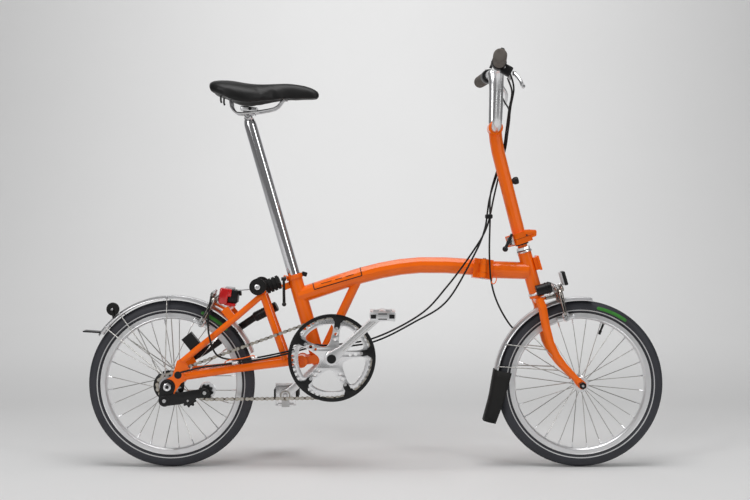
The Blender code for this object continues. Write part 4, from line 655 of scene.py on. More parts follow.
def make_tyre(name, axle, body):
    """A narrow tyre: round section, grooves round the tread, sidewall stripe and bead."""
    middle = TYRE_R - SECTION_R
    profile = []
    count = 36
    for k in range(count + 1):
        angle = math.radians(-128.0 + 256.0 * k / count)
        radius = SECTION_R
        lean = abs(math.degrees(angle))
        for groove in (9.0, 22.0, 36.0):
            if abs(lean - groove) < 3.6:
                radius -= 0.0011
        if lean > 60.0:
            radius -= 0.0002
        profile.append((middle + radius * math.cos(angle), radius * math.sin(angle)))
    profile += [(0.1806, 0.0105), (0.1806, -0.0105)]
    tyre = painted(ring(name + "_tread", axle, profile, 120, 24.0), TYRE)
    parts = [tyre]
    for side in (-1.0, 1.0):
        strip = []
        for radial in (0.1887, 0.1881, 0.187, 0.1864):
            y = math.sqrt(SECTION_R ** 2 - (radial - middle) ** 2)
            strip.append((radial, side * (y + 0.0001)))
        strip = [(strip[0][0], strip[0][1] - side * 0.0005)] + strip + [
            (strip[-1][0], strip[-1][1] - side * 0.0005)]
        keep(parts, STRIPE, ring(name + "_line", axle, strip, 120))
        bead = [(0.1822, side * 0.0118), (0.1816, side * 0.0127), (0.1806, side * 0.0127),
            (0.18, side * 0.0112)]
        keep(parts, SIDEWALL, ring(name + "_bead", axle, bead, 96))
    return put(joined(name + "_tyre_detail", parts), body, None, name + "_tyre")


def make_panel(name, axle, body, start, end):
    """A coloured panel moulded on the right sidewall between two angles."""
    middle = TYRE_R - SECTION_R
    corners = []
    steps = 20
    radii = (0.1932, 0.195, 0.1975, 0.1998, 0.2016)
    for k in range(steps + 1):
        angle = start + (end - start) * k / steps
        trim = 0.0018 if k in (0, steps) else 0.0
        for j, radius in enumerate(radii):
            if j == 0:
                radius += trim
            if j == len(radii) - 1:
                radius -= trim
            y = math.sqrt(max(0.0, SECTION_R ** 2 - (radius - middle) ** 2)) + 0.0002
            corners.append(on_wheel(axle, radius, angle, -y))
    panel = raw(name, corners, sheet(steps + 1, len(radii)))
    thick = panel.modifiers.new("thick", "SOLIDIFY")
    thick.thickness = 0.0004
    thick.offset = 0.0
    return put(panel, body, GREEN)


def make_rim(name, axle, body):
    """A turned rim: flat brake tracks, rolled edges and a shaped inner wall."""
    profile = [(0.1797, -0.0108), (0.1803, -0.012), (0.179, -0.0121), (0.1785, -0.0117), (0.17, -0.0117),
        (0.1692, -0.012), (0.168, -0.0117), (0.1655, -0.0092), (0.1645, -0.006), (0.1641, 0.0),
        (0.1645, 0.006), (0.1655, 0.0092), (0.168, 0.0117), (0.1692, 0.012), (0.17, 0.0117),
        (0.1785, 0.0117), (0.179, 0.0121), (0.1803, 0.012), (0.1797, 0.0108)]
    parts = [painted(ring(name + "_hoop", axle, profile, 120, 20.0), TRACK)]
    return put(joined(name + "_rim_detail", parts), body, None, name + "_rim")


NIPPLE_R = 0.1632


def make_hub(name, axle, body, flange_y, flange_r, barrel_r, bore_r, crossing):
    """A hub with two flanges, its 28 spokes with their elbows, and nipples."""
    half = flange_y + 0.0018
    low = flange_y - 0.0018
    profile = [(bore_r, -half - 0.003), (barrel_r * 0.62, -half - 0.003),
        (barrel_r * 0.7, -half - 0.0022), (barrel_r * 0.74, -half), (flange_r - 0.0006, -half),
        (flange_r, -half + 0.0006), (flange_r, -low - 0.0004), (flange_r - 0.0006, -low),
        (barrel_r + 0.0022, -low + 0.0006), (barrel_r + 0.0004, -low + 0.003), (barrel_r, -low + 0.006),
        (barrel_r - 0.0012, 0.0), (barrel_r, low - 0.006), (barrel_r + 0.0004, low - 0.003),
        (barrel_r + 0.0022, low - 0.0006), (flange_r - 0.0006, low), (flange_r, low + 0.0004),
        (flange_r, half - 0.0006), (flange_r - 0.0006, half), (barrel_r * 0.74, half),
        (barrel_r * 0.7, half + 0.0022), (barrel_r * 0.62, half + 0.003), (bore_r, half + 0.003)]
    parts = [painted(ring(name + "_shell", axle, profile, 40), ALLOY)]
    per_side = 14
    for side in (-1.0, 1.0):
        for k in range(per_side):
            angle = 360.0 * (k + (0.25 if side > 0.0 else 0.75)) / per_side
            way = 1.0 if k % 2 == 0 else -1.0
            level = way * 0.0014 if crossing > 0.0 else 0.0
            root = on_wheel(axle, flange_r - 0.003, angle + way * crossing,
                side * (flange_y + level * 1.4))
            tip = on_wheel(axle, NIPPLE_R, angle, side * (0.003 + 2.0 * level / 3.0))
            along = (tip - root).normalized()
            head = root + Vector((0.0, -side * 0.0022, 0.0)) * (1.0 if level <= 0.0 else -1.0)
            path = [head, root, root + along * 0.004, root.lerp(tip, 0.5), tip]
            keep(parts, SPOKE, tube(name + "_spoke", path, 0.001, 6))
            keep(parts, ALLOY,
                rod(name + "_nipple", tip - along * 0.011, tip + along * 0.0012, 0.0019, 8))
    hub = joined(name + "_hub_detail", parts)
    return put(hub, body, None, name + "_hub_and_spokes")


def make_valve(name, axle, body, angle):
    parts = []
    keep(parts, BLACK,
        rod("stem", on_wheel(axle, 0.164, angle), on_wheel(axle, 0.144, angle), 0.0031, 12, tip=0.0027))
    keep(parts, BLACK,
        rod("cap", on_wheel(axle, 0.145, angle), on_wheel(axle, 0.134, angle), 0.0038, 12, tip=0.0034))
    keep(parts, STEEL,
        rod("seat", on_wheel(axle, 0.1646, angle), on_wheel(axle, 0.1622, angle), 0.005, 12))
    return put(joined(name, parts), body)


make_tyre("rear", REAR_AXLE, "rear_wheel")
make_tyre("front", FRONT_AXLE, "front_wheel")
make_panel("rear_green_panel", REAR_AXLE, "rear_wheel", 44.0, 67.0)
make_panel("front_green_panel", FRONT_AXLE, "front_wheel", 54.0, 78.0)
make_rim("rear", REAR_AXLE, "rear_wheel")
make_rim("front", FRONT_AXLE, "front_wheel")
make_hub("rear", REAR_AXLE, "rear_wheel", 0.028, 0.029, 0.023, 0.0064, 26.0)
make_hub("front", FRONT_AXLE, "front_wheel", 0.025, 0.019, 0.013, 0.0059, 0.0)
make_valve("front_valve", FRONT_AXLE, "front_wheel", 68.0)
make_valve("rear_valve", REAR_AXLE, "rear_wheel", 16.0)


# ------------------------------------------------------------------ chain and chainset


def pitch_radius(teeth):
    return PITCH / 2.0 / math.sin(math.pi / teeth)


def toothed(centre, teeth, phase, lift=0.004, drop=0.005):
    """The outline of a chain wheel: a rounded tooth between each pair of rollers."""
    radius = pitch_radius(teeth)
    step = 360.0 / teeth
    made = []
    for k in range(teeth):
        middle = phase + step * (k + 0.5)
        for share, height in ((-0.42, -drop), (-0.3, -drop * 0.7), (-0.17, 0.0), (-0.07, lift),
                (0.07, lift), (0.17, 0.0), (0.3, -drop * 0.7), (0.42, -drop)):
            made.append(polar(centre, radius + height, middle + step * share))
    return made


def belt(circles):
    """Arcs and straight runs round circles of (centre, radius, turn), as functions of distance."""
    count = len(circles)
    tangents = []
    for index in range(count):
        first, first_r, first_turn = circles[index]
        second, second_r, second_turn = circles[(index + 1) % count]
        gap = second - first
        heading = math.atan2(gap.z, gap.x)
        span = math.hypot(gap.x, gap.z)
        lean = math.asin((first_turn * first_r - second_turn * second_r) / span)
        tangents.append(heading + lean - math.pi / 2.0)
    path = []
    for index in range(count):
        centre, radius, turn = circles[index]
        arrive = tangents[index - 1]
        leave = tangents[index]
        sweep = (leave - arrive) * turn % (2.0 * math.pi)
        steps = max(2, math.ceil(sweep * radius / 0.0008))
        for step in range(steps + 1):
            angle = arrive + turn * sweep * step / steps
            path.append(Vector((centre.x + turn * radius * math.cos(angle), 0.0,
                centre.z + turn * radius * math.sin(angle))))
    return path


def walk(path, spacing):
    """Points a fixed distance apart along a closed path."""
    lengths = [(path[(k + 1) % len(path)] - path[k]).length for k in range(len(path))]
    total = sum(lengths)
    count = int(round(total / spacing / 2.0)) * 2
    step = total / count
    made = []
    index = 0
    travelled = 0.0
    for k in range(count):
        wanted = k * step
        while travelled + lengths[index] < wanted:
            travelled += lengths[index]
            index += 1
        share = (wanted - travelled) / lengths[index]
        made.append(path[index].lerp(path[(index + 1) % len(path)], share))
    return made


def link_plate(start, end, y, thick):
    """One side plate of a link: two round ends with a waist."""
    along = (end - start).normalized()
    heading = math.degrees(math.atan2(along.z, along.x))
    middle = start.lerp(end, 0.5)
    points = [polar((start.x, start.z), 0.0043, heading + 70.0 + 27.5 * k) for k in range(9)]
    points.append(polar((middle.x, middle.z), 0.0021, heading - 90.0))
    points += [polar((end.x, end.z), 0.0043, heading - 110.0 + 27.5 * k) for k in range(9)]
    points.append(polar((middle.x, middle.z), 0.0021, heading + 90.0))
    count = len(points)
    corners = [Vector((x, y - thick / 2.0, z)) for x, z in points]
    corners += [Vector((x, y + thick / 2.0, z)) for x, z in points]
    faces = [tuple(range(count)), tuple(reversed(range(count, 2 * count)))]
    for k in range(count):
        after = (k + 1) % count
        faces.append((k, after, after + count, k + count))
    return corners, faces


def make_chain():
    """The chain, link by link: inner and outer plates in turn, rollers and rivets."""
    path = belt((
        (BRACKET, pitch_radius(CHAINRING_TEETH), 1.0),
        (REAR_AXLE, pitch_radius(SPROCKET_TEETH), 1.0),
        (JOCKEY_REAR, pitch_radius(JOCKEY_TEETH), -1.0),
        (JOCKEY_FRONT, pitch_radius(JOCKEY_TEETH), 1.0),
    ))
    pins = walk(path, PITCH)
    parts = []
    for look, build in ((CHAIN, 0), (DARK_CHAIN, 1), (STEEL, 2)):
        corners = []
        faces = []

        def add(new_corners, new_faces):
            base = len(corners)
            corners.extend(new_corners)
            faces.extend(tuple(base + index for index in face) for face in new_faces)

        def add_pin(place, radius, half, sides):
            rims = []
            for y in (-half, half):
                rims += [Vector((place.x, CHAIN_Y + y, place.z))
                    + Vector((radius * math.cos(2.0 * math.pi * k / sides), 0.0,
                        radius * math.sin(2.0 * math.pi * k / sides))) for k in range(sides)]
            walls = [(k, (k + 1) % sides, sides + (k + 1) % sides, sides + k) for k in range(sides)]
            add(rims, walls + [tuple(range(sides)), tuple(reversed(range(sides, 2 * sides)))])

        for k, pin in enumerate(pins):
            following = pins[(k + 1) % len(pins)]
            outer = k % 2 == 1
            if build == 2:
                add_pin(pin, 0.0018, 0.0036, 10)
            elif build == 1:
                add_pin(pin, 0.0039, 0.0012, 12)
            if build == (0 if outer else 1):
                for side in (-1.0, 1.0):
                    add(*link_plate(pin, following, CHAIN_Y + side * (0.0027 if outer else 0.0018),
                        0.0008))
        keep(parts, look, raw("chain_part", corners, faces, 30.0))
    chain = joined("chain_links", parts)
    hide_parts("chain")
    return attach(chain, "rear_frame")


make_chain()


def spider_window(centre, k):
    """The opening between two spider arms: wide at the rim, narrow at the hub."""
    middle = SPIDER_ANGLE + 72.0 * (k + 0.5)
    points = [polar(centre, 0.085, middle + swing) for swing in (-25.0, -12.5, 0.0, 12.5, 25.0)]
    points += [polar(centre, radius, middle + swing) for radius, swing in ((0.078, 29.0), (0.066, 28.5))]
    points += [polar(centre, radius, middle + swing) for radius, swing in ((0.037, 17.0), (0.031, 0.0))]
    points += [polar(centre, radius, middle - swing) for radius, swing in ((0.037, 17.0), (0.066, 28.5))]
    points.append(polar(centre, 0.078, middle - 29.0))
    return rounded(points, 0.35, 3)


def make_chainset():
    """The right crank and chainring: teeth, five drilled arms, bolts, a bossed crank and dust cap."""
    centre = (BRACKET.x, BRACKET.z)
    windows = [spider_window(centre, k) for k in range(5)]
    holes = []
    for k in range(5):
        angle = SPIDER_ANGLE + 72.0 * k
        holes.append(circle_points(polar(centre, 0.06, angle), 0.0042, 14))
        holes.append(circle_points(polar(centre, 0.046, angle), 0.0034, 14))
    phase = 3.2
    teeth = plate("ring_teeth", [toothed(centre, CHAINRING_TEETH, phase), *windows, *holes],
        CHAIN_Y - 0.001, CHAIN_Y + 0.001, 0.0002)
    web = plate("ring_web", [circle_points(centre, 0.094, 96), *windows, *holes], CHAIN_Y - 0.002,
        CHAIN_Y + 0.002, 0.0005)
    parts = [painted(teeth, ALLOY), painted(web, ALLOY)]
    boss = lathe("boss", (BRACKET.x, CHAIN_Y + 0.003, BRACKET.z), -SIDE,
        [(0.0, 0.0), (0.0185, 0.0), (0.019, 0.0006), (0.019, 0.01), (0.018, 0.014), (0.0165, 0.02),
            (0.0, 0.02)], 40)
    keep(parts, CAST, boss)
    tip = (CRANK_END.x, CRANK_END.z)
    arm = plate("crank", [waisted(centre, 0.0172, tip, 0.0122, 0.0096)], -0.0787, -0.066, 0.0022)
    keep(parts, CAST, arm)
    # painted shade: two dark lines along the crank's face stand for its grooves
    for share in (-1.0, 1.0):
        across = Vector((-math.sin(CRANK_ANGLE), 0.0, math.cos(CRANK_ANGLE))) * share * 0.0042
        start = BRACKET.lerp(CRANK_END, 0.2) + across
        end = BRACKET.lerp(CRANK_END, 0.84) + across * 1.1
        keep(parts, CALIPER, tube("groove", [start - SIDE * 0.0787, end - SIDE * 0.0787], 0.0006, 8))
    keep(parts, BLACK, lathe("cap", (BRACKET.x, -0.078, BRACKET.z), -SIDE,
        [(0.0, 0.0), (0.0115, 0.0), (0.0115, 0.0014), (0.0104, 0.0024), (0.004, 0.0028), (0.0, 0.0028)],
        32))
    keep(parts, STEEL, lathe("pedal_eye", (CRANK_END.x, -0.078, CRANK_END.z), -SIDE,
        [(0.0, 0.0), (0.0086, 0.0), (0.0086, 0.001), (0.0076, 0.002), (0.0, 0.0022)], 24))
    for k in range(5):
        x, z = polar(centre, 0.0745, SPIDER_ANGLE + 72.0 * k)
        keep(parts, STEEL, bolt("ring_bolt", (x, CHAIN_Y - 0.0075, z), -SIDE, 0.004, 0.001))
    return put(joined("chainset_detail", parts), "crankset", None,
        "right_crank_and_chainring")


make_chainset()


def make_guard():
    """The black guard ring: a disc with an outer lip, open in the middle but for five tabs."""
    centre = (BRACKET.x, BRACKET.z)
    opening = []
    for k in range(5):
        middle = SPIDER_ANGLE + 72.0 * k
        for radius, swing in ((0.1012, -10.0), (0.0985, -7.8), (0.094, -6.6), (0.09, -4.6), (0.078, -5.4),
                (0.0725, -3.6), (0.0712, 0.0), (0.0725, 3.6), (0.078, 5.4), (0.09, 4.6), (0.094, 6.6),
                (0.0985, 7.8), (0.1012, 10.0)):
            opening.append(polar(centre, radius, middle + swing))
        for swing in (13.0, 18.0, 24.0, 30.0, 36.0, 42.0, 48.0, 54.0, 59.0):
            opening.append(polar(centre, 0.1012, middle + swing))
    face = CHAIN_Y - 0.0046
    disc = plate("guard_disc", [circle_points(centre, 0.1098, 120), opening], face - 0.002, face, 0.0006)
    lip = ring("guard_lip", Vector((BRACKET.x, 0.0, BRACKET.z)), [(0.11, face - 0.002), (0.11, face),
        (0.1086, face), (0.108, face - 0.0012), (0.1086, face - 0.0024)], 120)
    return put(joined("guard_detail", [painted(disc, BLACK), painted(lip, BLACK)]), "crankset",
        None, "chain_guard")


make_guard()


def make_sprocket():
    centre = (REAR_AXLE.x, REAR_AXLE.z)
    teeth = plate("cog",
        [toothed(centre, SPROCKET_TEETH, 6.0, 0.0036, 0.0034), circle_points(centre, 0.0072, 24)],
        CHAIN_Y - 0.001, CHAIN_Y + 0.001, 0.0002)
    carrier = ring("carrier", Vector((REAR_AXLE.x, 0.0, REAR_AXLE.z)),
        [(0.0072, CHAIN_Y - 0.0016), (0.0165, CHAIN_Y - 0.0016), (0.017, CHAIN_Y + 0.001),
            (0.0188, CHAIN_Y + 0.0016), (0.0188, CHAIN_Y + 0.018), (0.018, CHAIN_Y + 0.0184),
            (0.0072, CHAIN_Y + 0.0184)], 32)
    parts = [painted(teeth, STEEL), painted(carrier, STEEL)]
    return put(joined("sprocket_detail", parts), "sprocket", None, "rear_sprocket")


make_sprocket()


def make_jockey(name, centre, body):
    middle = (centre.x, centre.z)
    wheel = plate("wheel",
        [toothed(middle, JOCKEY_TEETH, 10.0, 0.0006, 0.0034), circle_points(middle, 0.0035, 20)],
        CHAIN_Y - 0.001, CHAIN_Y + 0.001, 0.0002)
    rib = ring("rib", Vector((centre.x, 0.0, centre.z)), [(0.0035, CHAIN_Y - 0.0019),
        (0.008, CHAIN_Y - 0.0019), (0.0086, CHAIN_Y - 0.001), (0.0086, CHAIN_Y + 0.001),
        (0.008, CHAIN_Y + 0.0019), (0.0035, CHAIN_Y + 0.0019)], 24)
    return put(joined(name + "_detail", [painted(wheel, BLACK), painted(rib, BLACK)]), body,
        None, name + "_wheel")


make_jockey("front_jockey", JOCKEY_FRONT, "front_jockey")
make_jockey("rear_jockey", JOCKEY_REAR, "rear_jockey")


def make_tensioner():
    """The tensioner: one deep arm, its caps and bolts, the jockey wheels' pins and a guide disc."""
    root = (TENSIONER_PIVOT.x, TENSIONER_PIVOT.z)
    rear = (JOCKEY_REAR.x, JOCKEY_REAR.z)
    front = (JOCKEY_FRONT.x, JOCKEY_FRONT.z)
    points = [polar(root, 0.0134, 84.0 + 196.0 * k / 12.0) for k in range(13)]
    points += [(-0.482, 0.168)]
    points += [polar(rear, 0.0102, 220.0 + 100.0 * k / 6.0) for k in range(7)]
    points += [(-0.44, 0.183)]
    points += [polar(front, 0.012, -80.0 + 180.0 * k / 12.0) for k in range(13)]
    points += [(-0.45, 0.203), (-0.478, 0.1985), (-0.503, 0.1925)]
    parts = [painted(plate("arm", [points], -0.0686, -0.0656, 0.0008), BLACK)]
    for place, radius in ((root, 0.0124), (front, 0.0118)):
        spot = Vector((place[0], -0.0686, place[1]))
        rim = [(0.0, 0.0), (radius, 0.0), (radius, 0.0012), (radius * 0.9, 0.002), (radius * 0.62, 0.002),
            (radius * 0.58, 0.0012), (0.0, 0.0012)]
        keep(parts, BLACK, lathe("cap", spot, -SIDE, rim, 32))
        keep(parts, STEEL, bolt("cap_bolt", spot - SIDE * 0.0014, -SIDE, 0.0046, 0.0012))
    spot = Vector((JOCKEY_REAR.x, -0.069, JOCKEY_REAR.z))
    keep(parts, STEEL, bolt("jockey_bolt", spot, -SIDE, 0.0026, 0.0008))
    for place in (JOCKEY_REAR, JOCKEY_FRONT):
        keep(parts, STEEL,
            rod("pin", (place.x, -0.066, place.z), (place.x, CHAIN_Y + 0.003, place.z), 0.0029, 12))
    shade = ring("guide", Vector((JOCKEY_FRONT.x + 0.004, 0.0, JOCKEY_FRONT.z + 0.004)),
        [(0.006, -0.0462), (0.02, -0.0462), (0.0208, -0.0456), (0.02, -0.045), (0.006, -0.045)], 40)
    keep(parts, ALLOY, shade)
    keep(parts, BLACK, rod("post", (root[0], -0.066, root[1]), (root[0], -0.0636, root[1]), 0.009, 24))
    return put(joined("tensioner_detail", parts), "tensioner", None, "tensioner_arm")


make_tensioner()


def make_rear_end():
    """The disc behind the sprocket, the plate round the axle, its washer and nut, and a black disc of
    painted shade for the lug's hole.
    """
    disc = ring("chain_disc", REAR_AXLE,
        [(0.015, -0.0464), (0.0375, -0.0464), (0.0388, -0.0458), (0.0375, -0.045), (0.015, -0.045)], 64)
    put(disc, "sprocket", BLACK)
    axle = (REAR_AXLE.x, REAR_AXLE.z)
    root = (TENSIONER_PIVOT.x, TENSIONER_PIVOT.z)
    cover = plate("cover", [bar_outline(axle, 0.0192, root, 0.015)], -0.0645, -0.0637, 0.0003)
    washer = ring("washer", REAR_AXLE,
        [(0.0096, -0.0656), (0.015, -0.0656), (0.0154, -0.0652), (0.0154, -0.0646), (0.0096, -0.0646)],
        40)
    nut = lathe("nut", REAR_AXLE - SIDE * 0.0728, -SIDE, [(0.0, 0.0), (0.0092, 0.0), (0.0094, 0.0006),
        (0.008, 0.0012), (0.0056, 0.0012), (0.0048, 0.0004), (0.0, 0.0004)], 32)
    dot = lathe("axle_end", REAR_AXLE - SIDE * 0.0732, -SIDE,
        [(0.0, 0.0), (0.0042, 0.0), (0.0042, 0.0006), (0.0, 0.0008)], 20)
    # painted shade: a black disc stands for the dark inside of the lug's hole
    hole = lathe("hole", (-0.4877, -0.0637, 0.2405), -SIDE,
        [(0.0, 0.0), (0.0092, 0.0), (0.0092, 0.0006), (0.0074, 0.0003), (0.0, 0.0003)], 28)
    put(joined("rear_end_detail", [painted(cover, BLACK), painted(washer, BLACK), painted(nut, ALLOY),
        painted(dot, BLACK), painted(hole, BLACK)]), "rear_frame")


make_rear_end()


def make_left_crank():
    centre = (BRACKET.x, BRACKET.z)
    tip = (LEFT_CRANK_END.x, LEFT_CRANK_END.z)
    parts = []
    keep(parts, CAST,
        plate("left_arm", [waisted(centre, 0.0172, tip, 0.0124, 0.0096)], 0.0662, 0.0788, 0.0022))
    keep(parts, CALIPER, ring("eye_rim", Vector((tip[0], 0.0, tip[1])),
        [(0.0104, 0.0652), (0.0136, 0.0652), (0.0138, 0.0656), (0.0138, 0.0668), (0.0104, 0.0668)], 32))
    keep(parts, STEEL, lathe("eye_end", (tip[0], 0.0668, tip[1]), -SIDE,
        [(0.0, 0.0), (0.007, 0.0), (0.007, 0.0008), (0.004, 0.0012), (0.0034, 0.0004), (0.0, 0.0003)],
        24))
    keep(parts, STEEL, rod("spindle", (BRACKET.x, CHAIN_Y + 0.0043, BRACKET.z),
        (BRACKET.x, 0.067, BRACKET.z), 0.0085, 24))
    keep(parts, CAST,
        rod("boss", (BRACKET.x, 0.048, BRACKET.z), (BRACKET.x, 0.067, BRACKET.z), 0.015, 32))
    keep(parts, BLACK, lathe("left_cap", (BRACKET.x, 0.077, BRACKET.z), SIDE,
        [(0.0, 0.0), (0.0112, 0.0), (0.0112, 0.0022), (0.01, 0.003), (0.0, 0.0032)], 32))
    return put(joined("left_crank_detail", parts), "crankset", None,
        "left_crank_and_axle")


make_left_crank()


def make_right_pedal():
    """The fixed pedal: an alloy cage with slots drawn as black bars of painted shade, black end pads, pale
    reflectors, barrel and axle.
    """
    near = -0.085
    far = -0.175
    centre = CRANK_END
    parts = []
    for side in (-1.0, 1.0):
        x = centre.x + side * 0.0285
        keep(parts, CAST,
            block("rail", (x, (near + far) / 2.0, centre.z), (0.0036, 0.088, 0.0235), 0.0008))
        for level in (-1.0, 1.0):
            keep(parts, CAST, block("lip",
                (x - side * 0.002, (near + far) / 2.0, centre.z + level * 0.0106), (0.007, 0.084, 0.0022),
                0.0006))
        keep(parts, PALE, block("mirror", (x + side * 0.0012, (near + far) / 2.0, centre.z),
            (0.003, 0.056, 0.011), 0.0008))
    for y, way in ((near - 0.004, 1.0), (far + 0.004, -1.0)):
        keep(parts, CAST, block("cheek", (centre.x, y, centre.z), (0.059, 0.0064, 0.0215), 0.0012))
        for level in (-1.0, 1.0):
            # painted shade: the cheek's slots are black bars, not openings
            keep(parts, BLACK, block("slot", (centre.x, y + way * 0.0028, centre.z + level * 0.0062),
                (0.0215, 0.0016, 0.0026), 0.0005))
            spot = (centre.x + level * 0.0222, y + way * 0.0026, centre.z)
            keep(parts, BLACK, block("pad", spot, (0.013, 0.003, 0.01), 0.001))
    keep(parts, CAST, lathe("hump", (centre.x, (near + far) / 2.0 - 0.03, centre.z + 0.005), SIDE,
        [(0.0, 0.0), (0.008, 0.0), (0.0086, 0.001), (0.0086, 0.059), (0.008, 0.06), (0.0, 0.06)], 24))
    barrel = [(0.0, 0.0), (0.0066, 0.0), (0.007, 0.006), (0.0088, 0.011), (0.008, 0.03), (0.0074, 0.05),
        (0.008, 0.078), (0.007, 0.088), (0.0, 0.09)]
    keep(parts, CAST, lathe("barrel", (centre.x, near + 0.001, centre.z), -SIDE, barrel, 24))
    keep(parts, STEEL, rod("axle", (centre.x, near, centre.z), (centre.x, -0.0794, centre.z), 0.0064, 16))
    return put(joined("right_pedal_detail", parts), "right_pedal", None, "right_pedal")


make_right_pedal()


def make_left_pedal():
    """The folding pedal: a square plate with bearing rings, a deck and two rubber treads."""
    axle = LEFT_CRANK_END
    parts = [painted(block("plate", axle + SIDE * 0.0862, (0.053, 0.003, 0.059), 0.001), ALLOY)]
    for level in (-1.0, 1.0):
        keep(parts, CAST,
            block("lip", axle + Vector((0.0, 0.086, level * 0.027)), (0.0535, 0.0044, 0.005), 0.0012))
        keep(parts, BLACK,
            block("line", axle + Vector((0.0, 0.0846, level * 0.0225)), (0.042, 0.0012, 0.0014), 0.0004))
    for radius, y in ((0.0165, 0.0838), (0.012, 0.0834)):
        keep(parts, STEEL, lathe("race", (axle.x, y + 0.0008, axle.z), SIDE,
            [(radius - 0.003, 0.0), (radius, 0.0), (radius, 0.0014), (radius - 0.003, 0.0014)], 32))
    keep(parts, CAST, block("deck", axle + SIDE * 0.127, (0.043, 0.079, 0.011), 0.002))
    for side in (-1.0, 1.0):
        keep(parts, RUBBER,
            block("tread", axle + Vector((side * 0.0262, 0.127, 0.0)), (0.0104, 0.077, 0.0275), 0.0022))
        for k in range(7):
            y = 0.096 + 0.0103 * k
            keep(parts, RUBBER,
                block("ridge", axle + Vector((side * 0.03, y, 0.0)), (0.004, 0.005, 0.024), 0.0008))
    return put(joined("left_pedal_detail", parts), "left_pedal", None, "left_pedal")


make_left_pedal()


# ------------------------------------------------------------------ mudguards


def guard_strip(name, axle, crown, start, end, steps):
    """A mudguard blade: crowned across, with rolled edges and two pressed ribs, closed all round."""
    shares = [-1.0, -0.97, -0.86, -0.62, -0.5, -0.44, -0.38, -0.26, -0.12, 0.0]
    shares = shares + [-share for share in reversed(shares[:-1])]
    half = 0.023
    outer = []
    for share in shares:
        lift = -0.0055 * share * share
        if 0.42 < abs(share) < 0.46:
            lift += 0.0011
        elif 0.36 < abs(share) < 0.52:
            lift += 0.0002
        if abs(share) > 0.98:
            lift -= 0.0012
        outer.append((crown + lift, half * share))
    inner = [(radius - 0.0012, y * 0.975) for radius, y in reversed(outer)]
    section = outer + inner
    count = len(section)
    corners = []
    for k in range(steps + 1):
        angle = start + (end - start) * k / steps
        for radius, y in section:
            corners.append(on_wheel(axle, radius, angle, y))
    faces = sheet(steps + 1, count, True)
    faces.append(tuple(range(count)))
    faces.append(tuple(reversed(range(steps * count, (steps + 1) * count))))
    return painted(raw(name, corners, faces, 28.0), GUARD)


def wire(name, points, radius, look):
    return painted(tube(name, smooth_path(points, 8), radius, 10), look)


def make_rear_mudguard():
    crown = 0.224
    parts = [guard_strip("rear_blade", REAR_AXLE, crown, 21.0, 146.0, 72)]
    root = on_wheel(REAR_AXLE, crown - 0.0004, 145.5)
    tongue = plate("tongue", [rounded([(root.x + 0.004, root.z + 0.005), (root.x + 0.004, root.z + 0.002),
        (-0.7376, 0.343), (-0.7383, 0.3465)], 0.15, 3)], -0.0165, 0.0165, 0.0006)
    keep(parts, BLACK, tongue)
    for side in (-1.0, 1.0):
        foot = on_wheel(REAR_AXLE, crown - 0.0015, 131.5, side * 0.01)
        keep(parts, BLACK,
            rod("carrier_leg", foot, MUDGUARD_ROLLER + Vector((-0.001, side * 0.01, 0.001)), 0.0026, 12))
        hinge = Vector((REAR_AXLE.x - 0.006, side * 0.0665, REAR_AXLE.z + 0.026))
        for angle in (139.0, 126.0, 92.5):
            top = on_wheel(REAR_AXLE, crown - 0.005, angle, side * 0.0218)
            parts.append(wire("stay", [hinge + (top - hinge).normalized() * 0.003, top], 0.0014, SPOKE))
            keep(parts, STEEL, bolt("stay_clip", top + Vector((0.0, side * 0.0012, 0.0)),
                (0.0, side, 0.0), 0.003, 0.001))
        keep(parts, STEEL, rod("roller_pin", (MUDGUARD_ROLLER.x, side * 0.006, MUDGUARD_ROLLER.z),
            (MUDGUARD_ROLLER.x, side * 0.0125, MUDGUARD_ROLLER.z), 0.003, 12))
    return put(joined("rear_mudguard_detail", parts), "rear_frame", None, "rear_mudguard")


make_rear_mudguard()


def make_flap():
    """The rubber flap: a curved back with two wings, thin and slightly bowed."""
    rows = []
    levels = 9
    for k in range(levels):
        t = k / (levels - 1)
        z = 0.248 + (0.118 - 0.248) * t
        back = 0.3085 + (0.2965 - 0.3085) * min(1.0, t / 0.54)
        if t > 0.54:
            back = 0.2965 + (0.2805 - 0.2965) * (t - 0.54) / 0.46
        wing = 0.042 + (0.029 - 0.042) * t
        half = 0.027
        plan = smooth_path([Vector((back + wing, -half - 0.0036, 0.0)),
            Vector((back + wing * 0.5, -half - 0.0016, 0.0)), Vector((back + 0.008, -half + 0.0006, 0.0)),
            Vector((back + 0.0006, -half * 0.6, 0.0)), Vector((back, 0.0, 0.0)),
            Vector((back + 0.0006, half * 0.6, 0.0)), Vector((back + 0.008, half - 0.0006, 0.0)),
            Vector((back + wing * 0.5, half + 0.0016, 0.0)), Vector((back + wing, half + 0.0036, 0.0))],
            3)
        rows.append([Vector((point.x, point.y, z - (point.x - back) * 0.18)) for point in plan])
    corners = [corner for row in rows for corner in row]
    flap = raw("flap", corners, sheet(levels, len(rows[0])))
    thick = flap.modifiers.new("thick", "SOLIDIFY")
    thick.thickness = 0.002
    thick.offset = 0.0
    mesh = evaluated(flap)
    bpy.data.objects.remove(flap)
    return painted(holder("flap", mesh), RUBBER)


def make_front_mudguard():
    crown = 0.22
    parts = [guard_strip("front_blade", FRONT_AXLE, crown, 82.0, 173.0, 54), make_flap()]
    for angle, place in ((152.0, (0.44, 0.04, 0.3)), (168.0, (0.469, 0.04, 0.249))):
        for side in (-1.0, 1.0):
            foot = Vector((place[0], side * place[1], place[2]))
            top = on_wheel(FRONT_AXLE, crown - 0.005, angle, side * 0.0218)
            parts.append(wire("stay", [top, foot], 0.0014, SPOKE))
            keep(parts, STEEL, bolt("stay_clip", top + Vector((0.0, side * 0.0012, 0.0)),
                (0.0, side, 0.0), 0.003, 0.001))
    return put(joined("front_mudguard_detail", parts), "fork", None, "front_mudguard")


make_front_mudguard()


# ------------------------------------------------------------------ brakes


